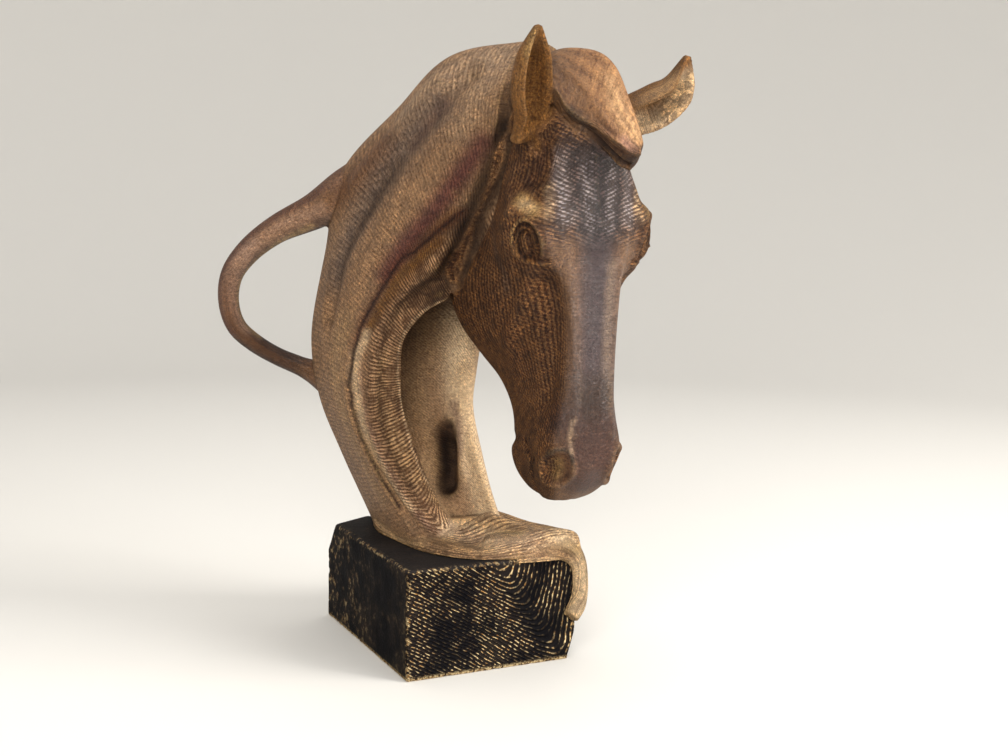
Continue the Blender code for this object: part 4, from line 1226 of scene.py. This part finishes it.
# Painted highlight: a thin pale line along the edge of the hollow
paint = brush(paint, "pale_tan", EDGE_HIGHLIGHT, 1.6, 0.8, on_rest)
gloss = np.clip(0.08 + 0.9 * front * on_head * (0.25 + 0.75 * ramp(height_mm, 112, 150)), 0, 1)
gloss = np.maximum(gloss, 0.35 * on_branch)
gloss = even_out(gloss, ends, counts, 5)
print("gloss up to", round(float(gloss.max()), 2))


# %% What the mesh carries for the shader
def store_colours(mesh, name, rows):
    """Save linear colours on the points."""
    full = np.column_stack([rows, np.ones(len(rows))])
    mesh.attributes.new(name, "FLOAT_COLOR", "POINT").data.foreach_set("color", full.ravel())


store_colours(figure.data, "paint", paint)
store_vectors(figure.data, "waves", np.column_stack([rib_phase, line_phase, round_mm]))
store_vectors(figure.data, "tool", np.column_stack([rib, line, gloss]))
store_vectors(figure.data, "age", np.column_stack([hollow_wash_and_shade, wear, along]))
figure.data.attributes.new("crackle", "FLOAT", "POINT").data.foreach_set("value", crackle)
print("attributes", [item.name for item in figure.data.attributes][:12])

# %% [markdown]
# ## The wood finish as a shader
#
# The shader only reads the coats and waves that the mesh carries. Noise bends the waves, so that
# no two ribs are alike; their valleys take the wash, their crests the dry brush, and the same
# height drives the bump. Gloss is higher where the patina was polished.

# %% A small kit for node trees
class Recipe:
    """Adds nodes to one material and links them, each call giving back the output socket."""

    def __init__(self, material):
        self.nodes = material.node_tree.nodes
        self.links = material.node_tree.links

    def put(self, socket, value):
        """Link an output socket, or set a plain value."""
        if isinstance(value, bpy.types.NodeSocket):
            self.links.new(value, socket)
        elif value is not None:
            socket.default_value = value

    def math(self, kind, a, b=None, c=None):
        """One step of arithmetic."""
        node = self.nodes.new("ShaderNodeMath")
        node.operation = kind
        for socket, value in zip(node.inputs, (a, b, c)):
            self.put(socket, value)
        return node.outputs[0]

    def times(self, first, *others):
        """The product of two or more values."""
        for other in others:
            first = self.math("MULTIPLY", first, other)
        return first

    def less(self, a, b):
        """a - b."""
        return self.math("SUBTRACT", a, b)

    def plus_times(self, total, a, b):
        """total + a * b."""
        return self.math("MULTIPLY_ADD", a, b, total)

    def mix(self, share, a, b, blend="MIX"):
        """Colour a changes to colour b as share goes from 0 to 1."""
        node = self.nodes.new("ShaderNodeMix")
        node.data_type = "RGBA"
        node.blend_type = blend
        self.put(node.inputs["Factor"], share)
        self.put(node.inputs[6], a)
        self.put(node.inputs[7], b)
        return node.outputs[2]

    def tint(self, share, colour, factor):
        """A colour multiplied by a factor for each channel, as far as share says."""
        return self.mix(share, colour, self.mix(1.0, colour, (*factor, 1.0), "MULTIPLY"))

    def steps(self, value, low, high, start=0.0, end=1.0):
        """A soft step: value from low to high becomes start to end."""
        node = self.nodes.new("ShaderNodeMapRange")
        node.interpolation_type = "SMOOTHSTEP"
        for socket, entry in zip(node.inputs, (value, low, high, start, end)):
            self.put(socket, entry)
        return node.outputs[0]

    def attribute(self, name, output="Color"):
        """A stored attribute of the mesh."""
        node = self.nodes.new("ShaderNodeAttribute")
        node.attribute_name = name
        return node.outputs[output]

    def split(self, vector):
        """The three parts of a vector."""
        node = self.nodes.new("ShaderNodeSeparateXYZ")
        self.put(node.inputs[0], vector)
        return node.outputs

    def join(self, x, y, z):
        """A vector from three parts."""
        node = self.nodes.new("ShaderNodeCombineXYZ")
        for socket, value in zip(node.inputs, (x, y, z)):
            self.put(socket, value)
        return node.outputs[0]

    def noise(self, vector, scale, detail=3.0, roughness=0.55):
        """Soft random values round one half."""
        node = self.nodes.new("ShaderNodeTexNoise")
        entries = {"Vector": vector, "Scale": scale, "Detail": detail, "Roughness": roughness}
        for name, value in entries.items():
            self.put(node.inputs[name], value)
        return node.outputs[0]

    def place(self):
        """Places on the object, in metres."""
        return self.nodes.new("ShaderNodeTexCoord").outputs["Object"]

    def cells(self, vector):
        """How far a point lies from the nearest border in a net of cells."""
        node = self.nodes.new("ShaderNodeTexVoronoi")
        node.feature = "DISTANCE_TO_EDGE"
        self.put(node.inputs["Vector"], vector)
        return node.outputs["Distance"]

    def bump(self, height, distance, normal=None):
        """A normal bent by a height, which is given in units of the distance."""
        node = self.nodes.new("ShaderNodeBump")
        node.inputs["Strength"].default_value = 1.0
        node.inputs["Distance"].default_value = distance
        self.put(node.inputs["Height"], height)
        self.put(node.inputs["Normal"], normal)
        return node.outputs[0]


def tone(name):
    """A paint with full alpha."""
    return (*PAINTS[name], 1.0)


steps_of_kit = [name for name in vars(Recipe) if not name.startswith("_")]
print("the kit has", len(steps_of_kit), "kinds of step")

# %% Driftwood finish
wood, wood_shader = shader_of("painted_driftwood", PAINTS["khaki"], 0.5)
wood_shader.inputs["Specular IOR Level"].default_value = 0.22
wood_shader.inputs["Coat Roughness"].default_value = 0.27
wood_shader.inputs["Coat IOR"].default_value = 1.8
kit = Recipe(wood)
rib_wave, line_wave, round_way = kit.split(kit.attribute("waves", "Vector"))
rib_cut, line_cut, polish = kit.split(kit.attribute("tool", "Vector"))
wash_shade_mask, dry_brush, along_way = kit.split(kit.attribute("age", "Vector"))
place = kit.place()
cloud = kit.noise(place, 38.0, 4.0)
blotch = kit.noise(place, 210.0, 4.0, 0.6)
speck = kit.noise(place, 1000.0, 3.0, 0.6)


def grain_place(across, along, layer=0.0):
    """A place in the grain: millimetres round and along the wood, each timed by a number."""
    return kit.join(kit.times(round_way, across), kit.times(along_way, along), layer)


def ripple(phase, bend, amount):
    """0 to 1 and back once a period, its phase pushed about by a noise."""
    pushed = kit.plus_times(phase, kit.less(bend, 0.5), amount)
    wave = kit.math("SINE", kit.times(pushed, 2 * math.pi))
    return kit.plus_times(0.5, wave, 0.5)


streak_across = kit.noise(grain_place(0.16, 1.3), 1.0, 4.0, 0.6)
streak_along = kit.noise(grain_place(1.4, 0.12, 3.0), 1.0, 4.0, 0.6)
crackle = kit.noise(grain_place(0.55, 0.8, 7.0), 1.0, 6.0, 0.7)
rib_height = kit.times(ripple(rib_wave, streak_across, 1.5), kit.steps(blotch, 0.36, 0.56, 0.3, 1.0))
line_height = ripple(line_wave, blotch, 1.4)
valley = kit.times(kit.less(1.0, rib_height), rib_cut)
valley = kit.plus_times(valley, kit.less(1.0, line_height), line_cut)
crest = kit.times(rib_height, rib_cut, kit.steps(blotch, 0.4, 0.58, 0.4, 1.0))

# Cracks run along the borders of a net of long cells; the plates between them catch light
shift = kit.times(kit.less(blotch, 0.5), 5.0)
net_round, net_along = kit.plus_times(shift, round_way, 0.62), kit.plus_times(shift, along_way, 0.36)
net = kit.cells(kit.join(net_round, net_along, 0.0))
crackled = kit.attribute("crackle", "Fac")
crack = kit.times(kit.steps(net, 0.16, 0.02), crackled)
plate = kit.times(kit.steps(net, 0.12, 0.30), crackled, kit.steps(blotch, 0.38, 0.56))
print("noises", sum(node.type.startswith("TEX_") for node in wood.node_tree.nodes))

# %% Colour, from the base coat to the dry brush
coat = kit.attribute("paint")
# What is looked at, where its step starts and ends, the greatest share, and the factor
for mask, low_end, high_end, share, factor in [
    (cloud, 0.35, 0.65, 0.35, (0.62, 0.58, 0.56)),
    (streak_across, 0.4, 0.7, 0.5, (0.5, 0.42, 0.38)),
    (streak_along, 0.45, 0.7, 0.4, (1.45, 1.4, 1.3)),
    (crackle, 0.52, 0.6, 0.55, (0.42, 0.32, 0.27)),
    (crackle, 0.46, 0.40, 0.45, (1.5, 1.45, 1.3)),
    (valley, 0.2, 1.0, 0.95, (0.22, 0.14, 0.09)),
]:
    coat = kit.tint(kit.steps(mask, low_end, high_end, 0.0, share), coat, factor)
coat = kit.tint(crack, coat, (0.22, 0.14, 0.10))
coat = kit.tint(kit.times(plate, 0.8), coat, (2.6, 2.3, 1.7))
coat = kit.tint(kit.steps(speck, 0.52, 0.66, 0.0, 0.5), coat, (1.8, 1.7, 1.5))
coat = kit.tint(kit.steps(speck, 0.46, 0.34, 0.0, 0.5), coat, (0.4, 0.33, 0.26))
coat = kit.tint(kit.steps(crest, 0.25, 0.9, 0.0, 0.6), coat, (1.9, 1.8, 1.65))
# The dark wash, with painted shade in the broad hollows and the knothole
washed_and_shaded = kit.mix(0.72, coat, tone("soot"))
coat = kit.mix(kit.times(wash_shade_mask, kit.steps(blotch, 0.3, 0.6, 0.8, 1.0)), coat, washed_and_shaded)
brushed = kit.mix(0.5, kit.mix(1.0, coat, (1.8, 1.6, 1.3, 1.0), "MULTIPLY"), tone("gold_tan"))
coat = kit.mix(kit.times(dry_brush, kit.steps(speck, 0.42, 0.58, 0.15, 0.8)), coat, brushed)
kit.put(wood_shader.inputs["Base Color"], coat)
print("nodes so far", len(wood.node_tree.nodes))

# %% Relief and gloss
RELIEF_DEPTH = 0.0008
SPECK_DEPTH = 0.0003

height = kit.times(rib_height, rib_cut)
for part, share in (
    (line_height, line_cut), (streak_along, 0.5), (streak_across, 0.5), (crack, -0.8), (speck, 0.4)
):
    height = kit.plus_times(height, part, share)
bent_normal = kit.bump(speck, SPECK_DEPTH, kit.bump(height, RELIEF_DEPTH))
kit.put(wood_shader.inputs["Normal"], bent_normal)
kit.put(wood_shader.inputs["Coat Normal"], bent_normal)
dull = kit.plus_times(0.62, polish, -0.2)
dull = kit.plus_times(dull, kit.less(speck, 0.5), 0.25)
kit.put(wood_shader.inputs["Roughness"], kit.plus_times(dull, wash_shade_mask, 0.15))
worn_polish = kit.times(kit.steps(blotch, 0.3, 0.6, 0.5, 1.0), kit.steps(speck, 0.35, 0.65, 0.5, 1.0))
kit.put(wood_shader.inputs["Coat Weight"], kit.times(polish, worn_polish))
figure.data.materials.clear()
figure.data.materials.append(wood)
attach(figure, "root")
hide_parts("horse_head")
print("wood nodes", len(wood.node_tree.nodes))

# %% [markdown]
# ## The block
#
# The block is a hewn beam end. Its front is end grain: growth rings that run down in slanting
# lines from the left, turn in a U, and climb again on the right. The soft wood between the rings
# is worn away. Two flat waves, one for each side, and the greater of the two with a soft corner,
# give exactly that shape. The same number cuts the relief and lays the gold on it.

# %% Box in six grids
DIVISIONS = (180, 90, 108)


def edge_dense(low, high, count):
    """Divisions from low to high that crowd a little towards both ends."""
    t = np.linspace(-1.0, 1.0, count + 1)
    t = 0.88 * t + 0.12 * np.sin(t * np.pi / 2)
    return low + (high - low) * (t + 1) / 2


def box_shell(low, high, counts):
    """Six grids, one on each side of a box, with their quads turned outwards."""
    lines = [edge_dense(low[axis], high[axis], counts[axis]) for axis in range(3)]
    points, quads, first = [], [], 0
    for axis in range(3):
        one, two = (axis + 1) % 3, (axis + 2) % 3
        across, upward = np.meshgrid(lines[one], lines[two], indexing="ij")
        for level in (low[axis], high[axis]):
            side = np.empty((*across.shape, 3))
            side[..., axis] = level
            side[..., one] = across
            side[..., two] = upward
            faces = grid_faces(*across.shape) + first
            quads.append(faces[:, ::-1] if level == high[axis] else faces)
            points.append(side.reshape(-1, 3))
            first += across.size
    return np.concatenate(points), np.concatenate(quads)


low_mm, high_mm = np.array(block_box) / MM
block_points, block_faces = box_shell(low_mm, high_mm, DIVISIONS)
print("block of", len(block_points), "points")

# %% Rounded edges and hewn corners
EDGE_RADIUS = 1.0
CUT_SOFTNESS = 0.5
# Three points on each plane that takes off a corner
BLOCK_CUTS = [
    ((37, -56, 52), (46, -56, 43), (37, 56, 52)),
    ((46, -56, 14), (41.5, -56, 0), (46, 56, 14)),
    ((-42, 56, 35), (-40, 45, 52), (-20, 56, 52)),
]


def round_edges(points, low, high, radius):
    """Inner point q = p held inside the box less the radius; p becomes q + radius * unit(p - q)."""
    inner = np.clip(points, low + radius, high - radius)
    return inner + radius * unit(points - inner)


def hew(points, corners, softness):
    """Push points back to a plane: p less n times half of (s + sqrt(s * s + softness ** 2))."""
    one, two, three = np.array(corners, float)
    normal = unit(np.cross(two - one, three - one))
    if normal @ (one - (low_mm + high_mm) / 2) < 0:
        normal = -normal
    over = (points - one) @ normal
    return points - 0.5 * (over + np.sqrt(over ** 2 + softness ** 2))[:, None] * normal


square_points = block_points
block_points = round_edges(block_points, low_mm, high_mm, EDGE_RADIUS)
for corners in BLOCK_CUTS:
    block_points = hew(block_points, corners, CUT_SOFTNESS)
print("cut back by up to", round(float(np.abs(block_points - square_points).max()), 1), "mm")

# %% Growth rings
RING_APEX = (-1.0, 57.0)
LEFT_NORMAL = (-0.51, -0.86)
RIGHT_NORMAL = (0.99, -0.15)
RIGHT_STRETCH = 0.62
RING_BEND = 5.0
RING_PITCH = 1.55
WAVES = 9


def wobble(points, size, seed):
    """Smooth pseudo noise from -1 to 1: a mean of sines along fixed directions."""
    random = np.random.default_rng(seed)
    total = np.zeros(len(points))
    for _ in range(WAVES):
        direction = random.normal(size=3)
        direction /= np.linalg.norm(direction)
        pace = 2 * np.pi / size * random.uniform(0.6, 1.6)
        total += np.sin(points @ direction * pace + random.uniform(0, 6.3))
    return total / WAVES * 1.8


def ring_phase(points):
    """Periods from the apex: the soft maximum of the two slanting distances over the pitch.

    Soft maximum of a and b is half of a + b + sqrt((a - b) ** 2 + bend ** 2)."""
    across = points[:, 0] - RING_APEX[0]
    upward = points[:, 2] - RING_APEX[1]
    left = across * LEFT_NORMAL[0] + upward * LEFT_NORMAL[1]
    right = (across * RIGHT_NORMAL[0] + upward * RIGHT_NORMAL[1]) * RIGHT_STRETCH
    bent = 0.5 * (left + right + np.sqrt((left - right) ** 2 + RING_BEND ** 2))
    bent += 0.9 * wobble(points, 40, 5) + 0.3 * wobble(points, 11, 6)
    return bent / RING_PITCH, right - left


phase, rightness = ring_phase(block_points)
print("phases from", round(float(phase.min())), "to", round(float(phase.max())))

# %% Worn wood and chipped edges
RING_DEPTH = 0.45

front_face = ramp(-block_points[:, 1], 54.6, 55.4) * ramp(block_points[:, 2], 0.3, 2.0)
left_face = ramp(-block_points[:, 0], 40.8, 41.6)
top_face = ramp(block_points[:, 2], 50.6, 51.4)
ridge = 0.5 + 0.5 * np.sin(2 * np.pi * phase)
stipple = ramp(-rightness, 2, 14) * ramp(-block_points[:, 2], -24, -8)
inward = RING_DEPTH * front_face * (1 - ridge ** 1.5) * (1 - 0.5 * stipple)
inward += 0.25 * left_face * (0.5 + 0.5 * wobble(block_points, 14, 8))
inward += 0.18 * top_face * (0.5 + 0.5 * wobble(block_points, 18, 9))
center = np.clip(block_points, low_mm + 12, high_mm - 12)
block_points = block_points - unit(block_points - center) * inward[:, None]
chips = np.maximum(0, wobble(block_points, 7, 11) - 0.35)
chips += 0.6 * np.maximum(0, wobble(block_points, 3, 12) - 0.4)
near_edge = np.sort(np.minimum(block_points - low_mm, high_mm - block_points), axis=1)[:, 1]
edge_share = 1 - ramp(near_edge, 0.6, 2.6)
block_points = block_points - unit(block_points - center) * (0.7 * chips * edge_share)[:, None]
print("rings", round(float(phase[front_face > 0.5].max() - phase[front_face > 0.5].min())))

# %% Block mesh
block = add_object("hewn_plinth", block_points * MM, block_faces.tolist())
store_vectors(block.data, "rings", np.column_stack([phase, front_face, rightness]))
store_vectors(block.data, "age", np.column_stack([edge_share, top_face, left_face]))
shell = bmesh.new()
shell.from_mesh(block.data)
bmesh.ops.remove_doubles(shell, verts=shell.verts, dist=2e-5)
bmesh.ops.recalc_face_normals(shell, faces=shell.faces)
shell.to_mesh(block.data)
shell.free()
block.data.shade_smooth()
print("block faces", len(block.data.polygons))

# %% Black paint
PAINTS.update({
    "black": (0.004, 0.0038, 0.0045),
    "worn_black_and_sheen": (0.020, 0.015, 0.012),
    "dust": (0.035, 0.030, 0.028),
    "pale_gold": (0.62, 0.48, 0.26),
})
tar, tar_shader = shader_of("black_paint_dry_brushed_gold", PAINTS["black"], 0.5)
tar_shader.inputs["Specular IOR Level"].default_value = 0.03
tar_shader.inputs["IOR"].default_value = 1.25
kit = Recipe(tar)
ring_wave, is_front, to_right = kit.split(kit.attribute("rings", "Vector"))
edge_wear, is_top, _ = kit.split(kit.attribute("age", "Vector"))
place = kit.place()
_, back_place, up_place = kit.split(place)
patch = kit.noise(place, 60.0, 4.0, 0.6)
blotch = kit.noise(place, 260.0, 4.0, 0.65)
grit = kit.noise(place, 900.0, 3.0, 0.6)
nick = kit.noise(place, 480.0, 2.0, 0.5)
ring_height = ripple(ring_wave, kit.noise(place, 150.0, 3.0, 0.5), 0.6)
print("black nodes", len(tar.node_tree.nodes))

# %% Gold on the ridges
# On the front the gold lies on the crests, in patches, and is more broken towards the left
broken_from = kit.plus_times(0.42, kit.steps(to_right, 4.0, -14.0), 0.05)
front_gold = kit.times(
    kit.steps(ring_height, 0.74, 0.96),
    kit.steps(nick, broken_from, 0.56, 0.03, 1.0),
    kit.steps(patch, 0.42, 0.60, 0.06, 0.9),
    is_front,
)
# On the sides it is dust, more of it towards the back, and least on top
side_gold = kit.times(
    kit.steps(blotch, 0.5, 0.64),
    kit.steps(patch, 0.42, 0.6, 0.0, 0.5),
    kit.steps(back_place, -0.02, 0.055, 0.15, 1.0),
    kit.less(1.0, is_front),
    kit.plus_times(1.0, is_top, -0.9),
)
low_gold = kit.times(kit.steps(up_place, 0.0025, 0.0, 0.0, 0.9), kit.steps(grit, 0.35, 0.55))
edge_gold = kit.times(edge_wear, kit.steps(nick, 0.5, 0.62), 0.4)
gold = front_gold
for other in (side_gold, low_gold, edge_gold):
    gold = kit.math("MAXIMUM", gold, other)
# Patches of worn black paint, partly a painted sheen on the black
coat = kit.mix(kit.steps(patch, 0.35, 0.7, 0.0, 0.6), tone("black"), tone("worn_black_and_sheen"))
coat = kit.mix(kit.times(is_top, 0.5), coat, tone("dust"))
gold_coat = kit.mix(kit.steps(grit, 0.35, 0.65), tone("gold_brown"), tone("pale_gold"))
kit.put(tar_shader.inputs["Base Color"], kit.mix(gold, coat, gold_coat))
kit.put(tar_shader.inputs["Roughness"], kit.plus_times(0.36, grit, 0.3))
height = kit.plus_times(kit.times(ring_height, is_front), blotch, 0.6)
kit.put(tar_shader.inputs["Normal"], kit.bump(grit, 0.00012, kit.bump(height, 0.00035)))
block.data.materials.append(tar)
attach(block, "root")
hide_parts("plinth_block")
print("black and gold nodes", len(tar.node_tree.nodes))

# %% [markdown]
